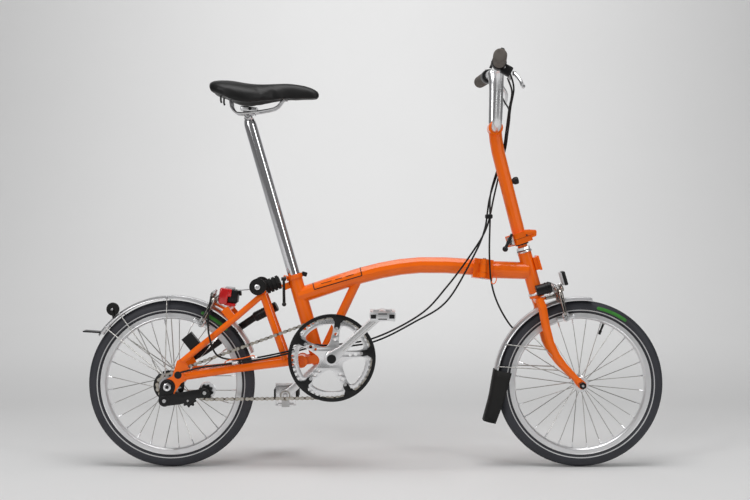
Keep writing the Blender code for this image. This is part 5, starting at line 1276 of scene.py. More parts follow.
def make_brake(name, axle, angle, side, body):
    """One caliper arm: a curved, tapered casting, its pivot bolt, oval slotted end with its slot drawn as a
    black block of painted shade, shoe and pad.
    """
    rows = ((0.243, 0.0085), (0.2434, 0.016), (0.2405, 0.025), (0.233, 0.0296), (0.22, 0.0316),
        (0.195, 0.0318), (0.178, 0.03))
    path = smooth_path([on_wheel(axle, radius, angle, side * y) for radius, y in rows], 6)
    count = len(path) - 1
    radii = [
        0.006 + 0.0016 * math.sin(math.pi * k / count) - 0.0018 * k / count for k in range(count + 1)]
    radial, tangent = wheel_axes(angle)
    outward = Vector((0.0, side, 0.0))
    parts = [painted(tube("arm", path, radii, 14), CALIPER)]
    inset = [path[k] + outward * (radii[k] - 0.0008) for k in range(int(count * 0.52), int(count * 0.92))]
    keep(parts, BLACK, tube("inset", inset, 0.002, 8))
    root = on_wheel(axle, 0.243, angle, side * 0.0085)
    keep(parts, CALIPER, rod("pivot", root - tangent * 0.005, root + tangent * 0.005, 0.0062, 20))
    for way in (-1.0, 1.0):
        keep(parts, STEEL,
            bolt("pivot_bolt", root + tangent * way * 0.0056, tangent * way, 0.004, 0.0012))
    post = on_wheel(axle, 0.1735, angle)
    keep(parts, STEEL, rod("post", post + outward * 0.02, post + outward * 0.0316, 0.0034, 16))
    eye = post + outward * 0.0318 + radial * 0.003
    for level, radius in ((-1.0, 0.0078), (1.0, 0.0086)):
        end = eye + radial * level * 0.0042
        keep(parts, ALLOY, lathe("eye", end - outward * 0.0018, outward,
            [(0.0, 0.0), (radius, 0.0), (radius, 0.003), (radius - 0.0012, 0.004), (0.0, 0.004)], 28))
    # painted shade: the slot in the oval end is a black block, not an opening
    keep(parts, BLACK, block("slot", eye + outward * 0.002, (0.0136, 0.0016, 0.0058), 0.0007,
        x_axis=radial, z_axis=tangent))
    keep(parts, STEEL, bolt("post_nut", eye + outward * 0.0028 - radial * 0.002, outward, 0.0036, 0.001))
    pad = on_wheel(axle, 0.1725, angle, side * 0.0186)
    keep(parts, PAD, block("pad", pad, (0.0086, 0.007, 0.042), 0.0012, x_axis=radial, z_axis=tangent))
    shoe = on_wheel(axle, 0.1725, angle, side * 0.0226)
    keep(parts, ALLOY, block("shoe", shoe, (0.0094, 0.0036, 0.044), 0.001, x_axis=radial, z_axis=tangent))
    return put(joined(name + "_detail", parts), body, None, name)


for end_of, axle_at, at in (("rear", REAR_AXLE, REAR_BRAKE_ANGLE),
        ("front", FRONT_AXLE, FRONT_BRAKE_ANGLE)):
    make_brake(end_of + "_brake_arm_right", axle_at, at, -1.0, end_of + "_brake_arm_right")
    make_brake(end_of + "_brake_arm_left", axle_at, at, 1.0, end_of + "_brake_arm_left")


def make_caliper_middle(name, axle, angle, body):
    """What sits between the two arms: the centre bolt and nut, springs, barrel adjusters and yokes."""
    radial, tangent = wheel_axes(angle)
    parts = []
    for side in (-1.0, 1.0):
        low = on_wheel(axle, 0.25, angle, side * 0.015) + tangent * 0.0085
        barrel = [(0.0, 0.0), (0.003, 0.0), (0.0032, 0.003), (0.0042, 0.0034), (0.0042, 0.008),
            (0.0032, 0.0086), (0.0028, 0.0125), (0.0, 0.013)]
        keep(parts, ALLOY, lathe("barrel", low, radial, barrel, 14, 25.0))
        spring = [on_wheel(axle, 0.249, angle, side * 0.004) + tangent * 0.009,
            on_wheel(axle, 0.245, angle, side * 0.013) + tangent * 0.01,
            on_wheel(axle, 0.236, angle, side * 0.023) + tangent * 0.008]
        parts.append(wire("spring", spring, 0.0011, STEEL))
    for level in (-1.0, 1.0):
        yoke = [on_wheel(axle, 0.244, angle, -0.027), on_wheel(axle, 0.252, angle, -0.015),
            on_wheel(axle, 0.254, angle), on_wheel(axle, 0.252, angle, 0.015),
            on_wheel(axle, 0.244, angle, 0.027)]
        yoke = smooth_path([point + tangent * level * 0.0072 for point in yoke], 5)
        keep(parts, CALIPER, tube("yoke", yoke, 0.0046, 12))
    if body == "fork":
        sleeve = on_wheel(axle, 0.2318, angle) + tangent * 0.023
        keep(parts, CALIPER, block("sleeve", sleeve, (0.009, 0.0286, 0.03), 0.002, x_axis=radial,
            z_axis=tangent, segments=3))
    middle = on_wheel(axle, 0.248, angle)
    keep(parts, STEEL,
        rod("centre_bolt", middle - tangent * 0.008, middle + tangent * 0.0125, 0.0034, 14))
    keep(parts, ALLOY, lathe("centre_nut", middle + tangent * 0.012, tangent,
        [(0.0, 0.0), (0.0058, 0.0), (0.0058, 0.0026), (0.005, 0.0036), (0.0, 0.0036)], 6, 20.0))
    return put(joined(name, parts), body)


make_caliper_middle("rear_caliper_middle", REAR_AXLE, REAR_BRAKE_ANGLE, "rear_frame")
make_caliper_middle("front_caliper_middle", FRONT_AXLE, FRONT_BRAKE_ANGLE, "fork")


# ------------------------------------------------------------------ saddle


SADDLE_PRESSURE = 4.0
SADDLE_SWELL = 0.005
SADDLE_SETTLING = 20
SADDLE_SECTIONS = (
    (-0.4195, 0.974, 0.956, 0.951, 0.038),
    (-0.413, 0.982, 0.95, 0.948, 0.056),
    (-0.39, 0.9835, 0.945, 0.937, 0.07),
    (-0.35, 0.978, 0.9415, 0.918, 0.074),
    (-0.306, 0.969, 0.941, 0.9155, 0.063),
    (-0.26, 0.97, 0.943, 0.928, 0.039),
    (-0.215, 0.9735, 0.9445, 0.931, 0.026),
    (-0.172, 0.971, 0.941, 0.932, 0.021),
    (-0.144, 0.962, 0.94, 0.93, 0.0185),
    (-0.131, 0.952, 0.94, 0.933, 0.012),
)


def saddle_row(x, top, underside, lip, half):
    height = top - lip
    right = (
        (0.42, top - 0.04 * height), (0.78, top - 0.2 * height), (0.97, top - 0.45 * height),
        (1.0, lip + 0.28 * height), (0.93, lip), (0.8, lip + 0.001), (0.7, underside),
    )
    made = [(x, 0.0, top)]
    made += [(x, half * share, z) for share, z in right]
    made.append((x, 0.0, underside))
    made += [(x, -half * share, z) for share, z in reversed(right)]
    return made


def make_saddle():
    """The saddle: a padded shell swollen by cloth pressure, with a rolled lip under it."""
    rows = [saddle_row(*row) for row in SADDLE_SECTIONS]
    middle = Vector((-0.28, 0.0, 0.952))
    corners = [middle + (Vector(corner) - middle) * 0.985 for row in rows for corner in row]
    count = len(rows[0])
    faces = sheet(len(rows), count, True)
    faces.append(tuple(reversed(range(count))))
    faces.append(tuple(range((len(rows) - 1) * count, len(rows) * count)))
    pad = raw("saddle_pad", corners, faces)
    refine = pad.modifiers.new("refine", "SUBSURF")
    refine.levels = 2
    remesh = pad.modifiers.new("remesh", "REMESH")
    remesh.mode = "VOXEL"
    remesh.voxel_size = 0.004
    settle(pad)
    swell(pad, SADDLE_PRESSURE, SADDLE_SWELL)
    soften = pad.modifiers.new("soften", "SMOOTH")
    soften.factor = 0.5
    soften.iterations = 14
    finer = pad.modifiers.new("finer", "SUBSURF")
    finer.levels = 1
    finer.render_levels = 1
    settle(pad)
    pad.data.polygons.foreach_set("use_smooth", [True] * len(pad.data.polygons))
    put(pad, "seatpost", COVER, "saddle")
    return pad


def swell(pad, pressure, cap):
    """Blows a pad up a little with cloth pressure, and keeps every point within the cap."""
    rest = [vertex.co.copy() for vertex in pad.data.vertices]
    cloth = pad.modifiers.new("cloth", "CLOTH")
    settings = cloth.settings
    settings.use_pressure = True
    settings.uniform_pressure_force = pressure
    settings.effector_weights.gravity = 0.0
    settings.quality = 5
    cloth.point_cache.frame_start = 1
    cloth.point_cache.frame_end = SADDLE_SETTLING
    scene = bpy.context.scene
    for number in range(1, SADDLE_SETTLING + 1):
        scene.frame_set(number)
    settle(pad)
    for vertex, start in zip(pad.data.vertices, rest):
        shift = vertex.co - start
        if shift.length > cap:
            vertex.co = start + shift * (cap / shift.length)
    scene.frame_set(1)


make_saddle()


POST_ABOVE = 0.413  # from the seat tube's top to the post's head
POST_LENGTH = 0.5


def make_seatpost():
    """The post: one turned chrome tube with a tapered top, and the clamp that holds the rails."""
    head = SEAT_TUBE_TOP + SEAT_UP * POST_ABOVE
    foot = head - SEAT_UP * POST_LENGTH
    profile = [(0.0, 0.0), (0.0146, 0.0), (0.0158, 0.0014), (0.0158, 0.482), (0.0152, 0.489),
        (0.0128, 0.4985), (0.0116, POST_LENGTH), (0.0, POST_LENGTH)]
    parts = [painted(lathe("post", foot, SEAT_UP, profile, 64), CHROME)]
    middle = Vector((-0.319, 0.0, 0.8935))
    keep(parts, ALLOY, block("clamp_top", Vector((-0.315, 0.0, 0.9095)), (0.044, 0.05, 0.012), 0.003,
        math.radians(-7.0), segments=3))
    for side in (-1.0, 1.0):
        keep(parts, BLACK,
            bolt("clamp_bolt", Vector((-0.312, side * 0.025, 0.91)), SIDE * side, 0.0042, 0.0014))
        hook = smooth_path(
            [(-0.385, side * 0.03, 0.944), (-0.385, side * 0.03, 0.93), (-0.383, side * 0.03, 0.924)], 4)
        keep(parts, BLACK, tube("hook", hook, 0.0024, 10))
    keep(parts, STEEL, lathe("neck", head - SEAT_UP * 0.006, SEAT_UP,
        [(0.0, 0.0), (0.0112, 0.0), (0.0104, 0.005), (0.0112, 0.011), (0.01, 0.013), (0.0, 0.013)], 40))
    barrel = [(0.0, 0.0), (0.0078, 0.0), (0.0088, 0.001), (0.0088, 0.005), (0.008, 0.0062),
        (0.008, 0.0248), (0.0088, 0.026), (0.0088, 0.03), (0.0078, 0.031), (0.0, 0.031)]
    keep(parts, CHROME, lathe("barrel", middle + Vector((0.0, -0.0155, 0.001)), SIDE, barrel, 32))
    for side in (-1.0, 1.0):
        keep(parts, CHROME, block("cradle", middle + Vector((0.003, side * 0.0135, 0.0075)),
            (0.033, 0.0065, 0.009), 0.0016, math.radians(-7.0), segments=3))
        keep(parts, STEEL,
            bolt("cradle_bolt", middle + Vector((0.0, side * 0.016, 0.001)), SIDE * side, 0.005, 0.001))
        keep(parts, STEEL, rod("foot", middle + Vector((side * 0.01, 0.0, 0.008)),
            middle + Vector((side * 0.01, 0.0, 0.012)), 0.003, 14))
    put(joined("seatpost_detail", parts), "seatpost", None, "seatpost")


make_seatpost()


def make_seat_clamp():
    """The clamp at the seat tube's top: an orange collar, its ear, and a black tab at the front."""
    low = SEAT_TUBE_TOP - SEAT_UP * 0.0115
    collar = lathe("collar", low, SEAT_UP, [(0.0196, 0.0), (0.0212, 0.0), (0.0216, 0.0008),
        (0.0216, 0.0098), (0.0208, 0.0108), (0.0196, 0.0108)], 48)
    middle = SEAT_TUBE_TOP - SEAT_UP * 0.006
    parts = []
    keep(parts, PAINT, collar)
    keep(parts, BLACK, block("tab", middle + Vector((0.025, 0.0, 0.007)), (0.014, 0.013, 0.011), 0.0022,
        -SEAT_LEAN, segments=3))
    keep(parts, PAINT, block("ear", middle + Vector((-0.022, -0.014, 0.0)), (0.0105, 0.017, 0.008),
        0.0016, -SEAT_LEAN, segments=3))
    keep(parts, STEEL, bolt("ear_bolt", middle + Vector((-0.022, -0.0224, 0.0)), -SIDE, 0.0032, 0.0008))
    put(joined("seat_clamp_detail", parts), "main_frame", None, "seat_clamp")


make_seat_clamp()


# ------------------------------------------------------------------ handlebar and controls


BAR_POINTS = (
    (0.311, 0.0, 0.862), (0.311, 0.026, 0.862), (0.3112, 0.04, 0.868), (0.3118, 0.048, 0.882),
    (0.313, 0.053, 0.92), (0.314, 0.058, 0.964), (0.314, 0.065, 0.99), (0.3125, 0.078, 1.006),
    (0.31, 0.098, 1.011), (0.296, 0.259, 1.0115),
)


def bar_at(y):
    start = Vector(BAR_POINTS[-2])
    end = Vector(BAR_POINTS[-1])
    return start.lerp(end, (y - start.y) / (end.y - start.y))


def make_bar():
    right = [flipped(point) for point in reversed(BAR_POINTS[1:])]
    left = [Vector(point) for point in BAR_POINTS]
    bar = tube("bar", smooth_path(right + left, 8), 0.0124, 28)
    return put(joined("handlebar_detail", [painted(bar, ALLOY)]), "stem", None,
        "handlebar")


make_bar()


def make_grip(name, side):
    """A foam grip with a soft bulge and rounded ends."""
    start = bar_at(0.156)
    end = bar_at(0.26)
    if side < 0.0:
        start, end = flipped(start), flipped(end)
    length = (end - start).length
    profile = [(0.013, 0.0), (0.0155, 0.0002), (0.0163, 0.002)]
    for k in range(1, 14):
        t = k / 14.0
        profile.append((0.0163 + 0.0004 * math.sin(math.pi * t), 0.002 + (length - 0.006) * t))
    profile += [(0.0163, length - 0.0036), (0.0152, length - 0.0012), (0.012, length - 0.0002),
        (0.0, length)]
    profile = [(0.0, 0.0)] + profile
    grip = lathe(name + "_foam", start, end - start, profile, 32, 60.0)
    put(grip, "stem", FOAM, name)
    return grip


make_grip("left_grip", 1.0)
make_grip("right_grip", -1.0)

LEVER_PIVOT = Vector((0.344, -0.134, 0.985))
TRIGGER_PIVOT = Vector((0.31, -0.1225, 1.011))


def make_controls(name, side):
    def at(point):
        point = Vector(point)
        return point if side < 0.0 else flipped(point)

    start = at(flipped(bar_at(0.118)))
    end = at(flipped(bar_at(0.148)))
    along = (end - start).normalized()
    length = (end - start).length
    clamp = lathe("clamp", start, along, [(0.0129, 0.0), (0.0168, 0.0), (0.018, 0.0012), (0.0183, 0.005),
        (0.0176, 0.0062), (0.0176, 0.0078), (0.0184, 0.009), (0.0184, length - 0.003), (0.0172, length),
        (0.0129, length)], 40)
    parts = [painted(clamp, BLACK)]
    keep(parts, BLACK,
        block("lever_mount", at((0.325, -0.134, 0.993)), (0.0255, 0.021, 0.025), 0.004, -0.5, segments=3))
    keep(parts, STEEL, bolt("clamp_bolt", at((0.319, -0.142, 0.999)), (0.4, 0.0, -0.9), 0.0036, 0.002))
    window = at((0.302, -0.128, 1.0272))
    keep(parts, PALE, block("indicator", window, (0.01, 0.012, 0.003), 0.0012, -0.3))
    keep(parts, STEEL, lathe("barrel", at((0.333, -0.119, 0.98)), at((0.25, 0.35, -0.9)),
        [(0.0, 0.0), (0.0036, 0.0), (0.0042, 0.001), (0.0042, 0.005), (0.0032, 0.006), (0.0028, 0.01),
            (0.0, 0.0105)], 16))
    put(joined(name + "_lever_bracket_detail", parts), "stem", None,
        name + "_lever_bracket")

    points = [LEVER_PIVOT, (0.356, -0.148, 0.968), (0.359, -0.17, 0.952), (0.357, -0.2, 0.944),
        (0.353, -0.235, 0.942)]
    path = smooth_path([at(point) for point in points], 8)
    radii = [0.0048 - 0.0012 * k / (len(path) - 1) for k in range(len(path))]
    blade = tube("blade", path, radii, 14)
    tip = painted(lathe("tip", path[-1] - (path[-1] - path[-2]).normalized() * 0.002, path[-1] - path[-2],
        [(0.0, 0.0), (0.0038, 0.0), (0.0046, 0.0018), (0.0038, 0.0044), (0.0, 0.0054)], 16), ALLOY)
    pivot = rod("pivot", at(LEVER_PIVOT) + UP * 0.0052, at(LEVER_PIVOT) - UP * 0.0052, 0.0046, 16)
    parts = [painted(blade, ALLOY), tip, painted(pivot, STEEL)]
    put(joined(name + "_brake_lever_detail", parts), name + "_brake_lever", None,
        name + "_brake_lever")

    foot = at((TRIGGER_PIVOT.x + 0.001, TRIGGER_PIVOT.y + 0.008, TRIGGER_PIVOT.z + 0.02))
    top = at((0.319, TRIGGER_PIVOT.y + 0.008, 1.05))
    thumb = lathe("thumb", foot, top - foot, [(0.0, 0.0), (0.0038, 0.0), (0.0034, 0.007), (0.004, 0.0135),
        (0.0054, 0.0172), (0.0055, 0.0184), (0.0042, 0.0202), (0.0, 0.0207)], 20)
    put(thumb, name + "_shift_lever", BLACK, name + "_shift_lever")


make_controls("right", -1.0)
make_controls("left", 1.0)


# ------------------------------------------------------------------ cables


CABLE_R = 0.0023
FRONT_BRAKE_ROUTE = (
    (0.33, -0.116, 0.976), (0.344, -0.085, 0.945), (0.342, -0.04, 0.905), (0.34, 0.005, 0.855),
    (0.333, 0.027, 0.8), (0.302, 0.012, 0.7), (0.296, -0.025, 0.63), (0.292, -0.048, 0.54),
    (0.298, -0.042, 0.469), (0.3195, -0.012, 0.4095), (0.358, 0.031, 0.3515), (0.385, 0.047, 0.342),
    (0.412, 0.061, 0.37), (0.43, 0.062, 0.425), (0.452, 0.046, 0.462), (0.464, 0.02, 0.462),
)
REAR_BRAKE_ROUTE = (
    (0.33, 0.116, 0.976), (0.345, 0.09, 0.94), (0.352, 0.03, 0.905), (0.345, 0.015, 0.85),
    (0.336, 0.031, 0.795), (0.312, 0.02, 0.695), (0.287, -0.03, 0.61), (0.248, -0.047, 0.545),
    (0.185, -0.046, 0.46), (0.118, -0.042, 0.39), (0.0, -0.04, 0.33), (-0.11, -0.04, 0.313),
    (-0.155, -0.04, 0.313), (-0.225, -0.0505, 0.296), (-0.295, -0.06, 0.283), (-0.345, -0.066, 0.279),
    (-0.39, -0.07, 0.292), (-0.409, -0.069, 0.34), (-0.413, -0.056, 0.385), (-0.411, -0.034, 0.425),
    (-0.409, -0.016, 0.442),
)
GEAR_ROUTE = (
    (0.334, -0.112, 0.996), (0.348, -0.09, 0.955), (0.345, -0.05, 0.91), (0.343, -0.005, 0.85),
    (0.337, 0.026, 0.798), (0.3, 0.012, 0.69), (0.282, -0.03, 0.605), (0.25, -0.058, 0.535),
    (0.185, -0.052, 0.425), (0.105, -0.044, 0.372), (0.0, -0.04, 0.321), (-0.11, -0.04, 0.307),
    (-0.155, -0.04, 0.307), (-0.225, -0.05, 0.29), (-0.295, -0.06, 0.277), (-0.36, -0.068, 0.269),
    (-0.43, -0.071, 0.26), (-0.48, -0.071, 0.248),
)


def make_cable(name, route, cuts):
    """A cable in runs: a run whose ends share a body rides on it; the other runs stay where they are.

    cuts are (last point's index, body at the start, body at the end, start share, end share); the shares
    are not used.
    """
    first = 0
    for number, (last, a, b, begin, finish_at) in enumerate(cuts):
        points = smooth_path(route, 10)[first * 10:last * 10 + 1]
        run = painted(tube(name + "_run_%d" % number, points, CABLE_R, 12), HOUSING)
        if number == 0:
            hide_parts(name)
        if a == b:
            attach(run, a)
        else:
            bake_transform(run)
        first = last


make_cable("front_brake_cable", FRONT_BRAKE_ROUTE,
    ((5, "stem", "stem", 0, 0), (15, "stem", "fork", 0.0, 0.55)))
make_cable("rear_brake_cable", REAR_BRAKE_ROUTE, ((5, "stem", "stem", 0, 0),
    (7, "fork", "stem", 1.0, 0.0), (8, "front_frame", "fork", 1.0, 0.0),
    (10, "main_frame", "front_frame", 1.0, 0.0), (12, "main_frame", "main_frame", 0, 0),
    (14, "main_frame", "rear_frame", 0.0, 1.0), (20, "rear_frame", "rear_frame", 0, 0)))
make_cable("gear_cable", GEAR_ROUTE, ((5, "stem", "stem", 0, 0), (7, "fork", "stem", 1.0, 0.0),
    (8, "front_frame", "fork", 1.0, 0.0), (10, "main_frame", "front_frame", 1.0, 0.0),
    (12, "main_frame", "main_frame", 0, 0), (14, "main_frame", "rear_frame", 0.0, 1.0),
    (17, "rear_frame", "rear_frame", 0, 0)))


# ------------------------------------------------------------------ fittings


def make_head_rings():
    """The headset: a silver cup, a black seal and an eight-sided nut, and the lower cup's ring."""
    def at(distance):
        return HEAD_POINT + HEAD_UP * distance

    upper = []
    keep(upper, ALLOY, lathe("cup", at(0.0992), HEAD_UP,
        [(0.0132, 0.0), (0.019, 0.0), (0.02, 0.001), (0.02, 0.004), (0.0188, 0.0052), (0.0132, 0.0052)],
        40))
    keep(upper, BLACK, lathe("seal", at(0.1044), HEAD_UP,
        [(0.0132, 0.0), (0.0178, 0.0), (0.0178, 0.0016), (0.0132, 0.0016)], 40))
    keep(upper, ALLOY, lathe("nut", at(0.106), HEAD_UP, [(0.0132, 0.0), (0.0172, 0.0), (0.0175, 0.0006),
        (0.0175, 0.007), (0.0166, 0.008), (0.0132, 0.008)], 8, 20.0))
    put(joined("headset_detail", upper), "front_frame", None, "headset")
    lower = lathe("lower_cup", at(-0.0119), HEAD_UP,
        [(0.0178, 0.0), (0.0196, 0.0), (0.02, 0.001), (0.02, 0.0046), (0.019, 0.0056), (0.0178, 0.0056)],
        40)
    put(lower, "front_frame", ALLOY)


make_head_rings()


def make_front_fittings():
    """The front reflector with its strip, block and arm, and the stem's knob, hinge nose, seam and seal."""
    plate_at = Vector((0.4853, 0.0, 0.479))
    parts = []
    keep(parts, BLACK, block("lens", plate_at + HEAD_FORWARD * 0.002, (0.009, 0.034, 0.036), 0.0026,
        x_axis=HEAD_FORWARD, z_axis=HEAD_UP, segments=3))
    keep(parts, PALE, block("back", plate_at - HEAD_FORWARD * 0.0045, (0.004, 0.031, 0.033), 0.0012,
        x_axis=HEAD_FORWARD, z_axis=HEAD_UP))
    strip = smooth_path(
        [(0.4509, 0.0, 0.4382), (0.4515, 0.0, 0.448), (0.46, 0.0, 0.46), (0.48, 0.0, 0.4655)], 6)
    keep(parts, ALLOY, tube("strip", strip, 0.0018, 10))
    middle = Vector((0.4305, -0.0345, 0.454))
    start = middle - HEAD_FORWARD * 0.0195
    rim = [(0.0, 0.0), (0.0128, 0.0), (0.014, 0.0016), (0.014, 0.024), (0.015, 0.0246), (0.015, 0.0278),
        (0.0136, 0.0284), (0.0136, 0.0306), (0.015, 0.0312), (0.015, 0.0346), (0.0138, 0.0352),
        (0.0138, 0.0376), (0.012, 0.039), (0.0, 0.039)]
    keep(parts, BLACK, lathe("block", start, HEAD_FORWARD, rim, 36))
    arm = smooth_path([middle + HEAD_FORWARD * 0.015, (0.456, -0.02, 0.458), (0.455, 0.0, 0.453)], 6)
    keep(parts, STEEL, tube("arm", arm, 0.0024, 10))
    put(joined("front_reflector_detail", parts), "fork", None, "front_reflector")
    root = Vector((0.348, 0.0, 0.7245))
    along = Vector((0.022, 0.0, 0.0055)).normalized()
    knob = [(0.0, 0.0), (0.0064, 0.0), (0.0068, 0.005), (0.0092, 0.008), (0.0098, 0.0125),
        (0.0092, 0.0175), (0.0074, 0.0194), (0.0, 0.02)]
    put(lathe("stem_knob", root + along * 0.004, along, knob, 28), "stem", BLACK)
    nose = smooth_path(
        [(0.38, -0.006, 0.5915), (0.395, 0.004, 0.594), (0.408, 0.014, 0.596), (0.4165, 0.0205, 0.5978)],
        5)
    hinge = [painted(tube("nose", nose, [0.0125 - 0.007 * k / 15.0 for k in range(16)], 20), PAINT)]
    front = STEM_PLANE_POINT + Vector((0.014, -0.0215, 0.0075))
    hinge.append(painted(bolt("grub", front, (0.3, -0.95, 0.0), 0.0022, 0.0008), BLACK))
    put(joined("stem_hinge_nose", hinge), "stem")
    seam = block("seam", STEM_PLANE_POINT + STEM_HINGE_SIDE * -0.005, (0.0566, 0.0406, 0.0007), 0.0,
        x_axis=STEM_HINGE_SIDE, z_axis=HEAD_UP)
    put(seam, "fork", BLACK)
    ring_at = STEM_PLANE_POINT - HEAD_UP * 0.0178
    seal = lathe("stem_seal", ring_at, HEAD_UP,
        [(0.0, 0.0), (0.0166, 0.0), (0.0172, 0.001), (0.0172, 0.003), (0.0, 0.0034)], 36)
    put(seal, "fork", BLACK)


make_front_fittings()


def make_front_nut():
    """The dark nuts on the front axle's ends, each with a bright axle tip."""
    low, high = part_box("front_axle")
    parts = []
    for y, way in ((low.y, -1.0), (high.y, 1.0)):
        end = Vector((FRONT_AXLE.x, y, FRONT_AXLE.z))
        nut = [(0.0, 0.0), (0.0094, 0.0), (0.0094, 0.0006), (0.0082, 0.0014), (0.0046, 0.0014),
            (0.004, 0.0006), (0.0, 0.0006)]
        keep(parts, BLACK, lathe("nut", end, SIDE * way, nut, 6, 20.0))
        keep(parts, STEEL, lathe("tip", end + SIDE * way * 0.0006, SIDE * way,
            [(0.0, 0.0), (0.0034, 0.0), (0.003, 0.001), (0.0, 0.0012)], 20))
    put(joined("front_axle_nuts", parts), "fork")


make_front_nut()


def make_stem_lever():
    """The stem hinge's clamp: a cast plate, a silver washer, and a slim black lever with a ball end."""
    outward = -STEM_HINGE_SIDE
    reach = Vector((0.405, 0.0, 0.9143))
    parts = []
    keep(parts, CAST, block("plate", STEM_CLAMP_PIVOT, (0.0056, 0.02, 0.022), 0.0012,
        x_axis=STEM_HINGE_SIDE, z_axis=HEAD_UP))
    keep(parts, ALLOY, lathe("washer", STEM_CLAMP_PIVOT + outward * 0.0028, outward,
        [(0.0, 0.0), (0.0092, 0.0), (0.0096, 0.0008), (0.009, 0.003), (0.0, 0.0034)], 28))
    keep(parts, BLACK,
        rod("stud", STEM_CLAMP_PIVOT + outward * 0.004, STEM_CLAMP_PIVOT + outward * 0.013, 0.0044, 16))
    root = STEM_CLAMP_PIVOT + outward * 0.0108
    knob_at = root - reach * 0.019
    path = [knob_at, root - reach * 0.008, root, root + reach * 0.012, root + reach * 0.0226]
    keep(parts, BLACK, tube("lever", smooth_path(path, 5), [0.004] * 8 + [0.0042] * 8 + [0.0034] * 5, 14))
    keep(parts, BLACK, ball("knob", knob_at, 0.0072))
    put(joined("stem_hinge_clamp_detail", parts), "stem_hinge_clamp", None,
        "stem_hinge_clamp")


make_stem_lever()


def make_cable_clip():
    """The clip that gathers the three cables beside the stem, and the wire loop under the frame."""
    clip = block("clip", (0.2935, -0.018, 0.637), (0.0185, 0.019, 0.0115), 0.0034, segments=3)
    put(joined("cable_clip", [painted(clip, BLACK)]), "stem")
    loop = wire("loop", [(0.302, -0.021, 0.484), (0.299, -0.04, 0.476), (0.2975, -0.049, 0.47),
        (0.304, -0.048, 0.468), (0.31, -0.04, 0.476), (0.312, -0.021, 0.484)], 0.0012, PAINT)
    put(joined("front_wire_loop", [loop]), "front_frame")


make_cable_clip()


def make_stay_guide():
    """The orange wire guide that holds the cables over the right chainstay, with two ferrules."""
    guide = wire("guide", [(-0.368, -0.056, 0.256), (-0.37, -0.064, 0.272), (-0.358, -0.072, 0.279),
        (-0.325, -0.074, 0.284), (-0.3, -0.07, 0.29), (-0.296, -0.06, 0.286)], 0.0013, PAINT)
    parts = [guide]
    for start, end in (((-0.304, -0.0612, 0.2816), (-0.29, -0.0594, 0.284)),
            ((-0.352, -0.0672, 0.2703), (-0.338, -0.0656, 0.2722))):
        keep(parts, ALLOY, rod("ferrule", start, end, 0.0031, 14))
    put(joined("stay_wire_guide", parts), "rear_frame")


make_stay_guide()


def make_border():
    """Thin black lines round three sides of a panel on the main tube, and three plain bars in it."""
    source = NODES["main_frame"]
    tree = BVHTree.FromObject(source, bpy.context.evaluated_depsgraph_get())
    upper_left, lower_left = Vector((-0.1552, 0.0, 0.472)), Vector((-0.1491, 0.0, 0.4517))
    lower_right, upper_right = Vector((-0.0284, 0.0, 0.4872)), Vector((-0.0335, 0.0, 0.5075))
    parts = []

    def line(start, end, radius):
        path = []
        for k in range(25):
            spot = start.lerp(end, k / 24.0)
            hit = tree.ray_cast(Vector((spot.x, -0.3, spot.z)), SIDE)
            if hit[0] is not None:
                path.append(hit[0] - SIDE * 0.0003)
        if len(path) > 2:
            keep(parts, BLACK, tube("line", path, radius, 6))

    line(upper_left, lower_left, 0.0012)
    line(lower_left, lower_right, 0.0012)
    line(lower_right, upper_right, 0.0012)
    for start, end in ((0.16, 0.38), (0.46, 0.6), (0.68, 0.84)):
        low, high = lower_left.lerp(lower_right, start), lower_left.lerp(lower_right, end)
        rise = (upper_left - lower_left) * 0.42
        line(low + rise, high + rise, 0.0008)
    put(joined("main_tube_border", parts), "main_frame")


make_border()


def make_rear_light():
    """The rear reflector: a ribbed red lens and flanks, its housing, a pale cap and a thumbscrew."""
    parts = []
    keep(parts, RED, block("lens", (-0.3788, 0.0, 0.435), (0.0215, 0.055, 0.041), 0.003,
        math.radians(-8.0), segments=3))
    keep(parts, BLACK, block("housing", (-0.356, 0.0, 0.434), (0.025, 0.041, 0.033), 0.003,
        math.radians(-8.0), segments=3))
    keep(parts, STEEL,
        block("bracket", (-0.327, 0.0, 0.4497), (0.043, 0.013, 0.0026), 0.0006, math.radians(5.0)))
    keep(parts, PALE,
        block("cap", (-0.365, 0.0, 0.4545), (0.023, 0.03, 0.006), 0.002, math.radians(-8.0)))
    keep(parts, RED,
        block("lower", (-0.364, 0.0, 0.4135), (0.028, 0.046, 0.0075), 0.002, math.radians(-8.0)))
    for side in (-1.0, 1.0):
        keep(parts, RED, block("flank", (-0.369, side * 0.0215, 0.444), (0.02, 0.008, 0.02), 0.0026,
            math.radians(-8.0), segments=3))
    for k in range(7):
        keep(parts, RED, block("rib", (-0.39, -0.0225 + 0.0075 * k, 0.4365), (0.0016, 0.003, 0.034),
            0.0006, math.radians(-8.0)))
    keep(parts, BLACK, lathe("thumbscrew", (-0.342, 0.0, 0.442), (0.99, 0.0, 0.13),
        [(0.0, 0.0), (0.007, 0.0), (0.0078, 0.001), (0.0078, 0.0046), (0.0068, 0.0056), (0.0, 0.0058)],
        14, 20.0))
    return put(joined("rear_light_detail", parts), "rear_frame", None, "rear_reflector")


make_rear_light()


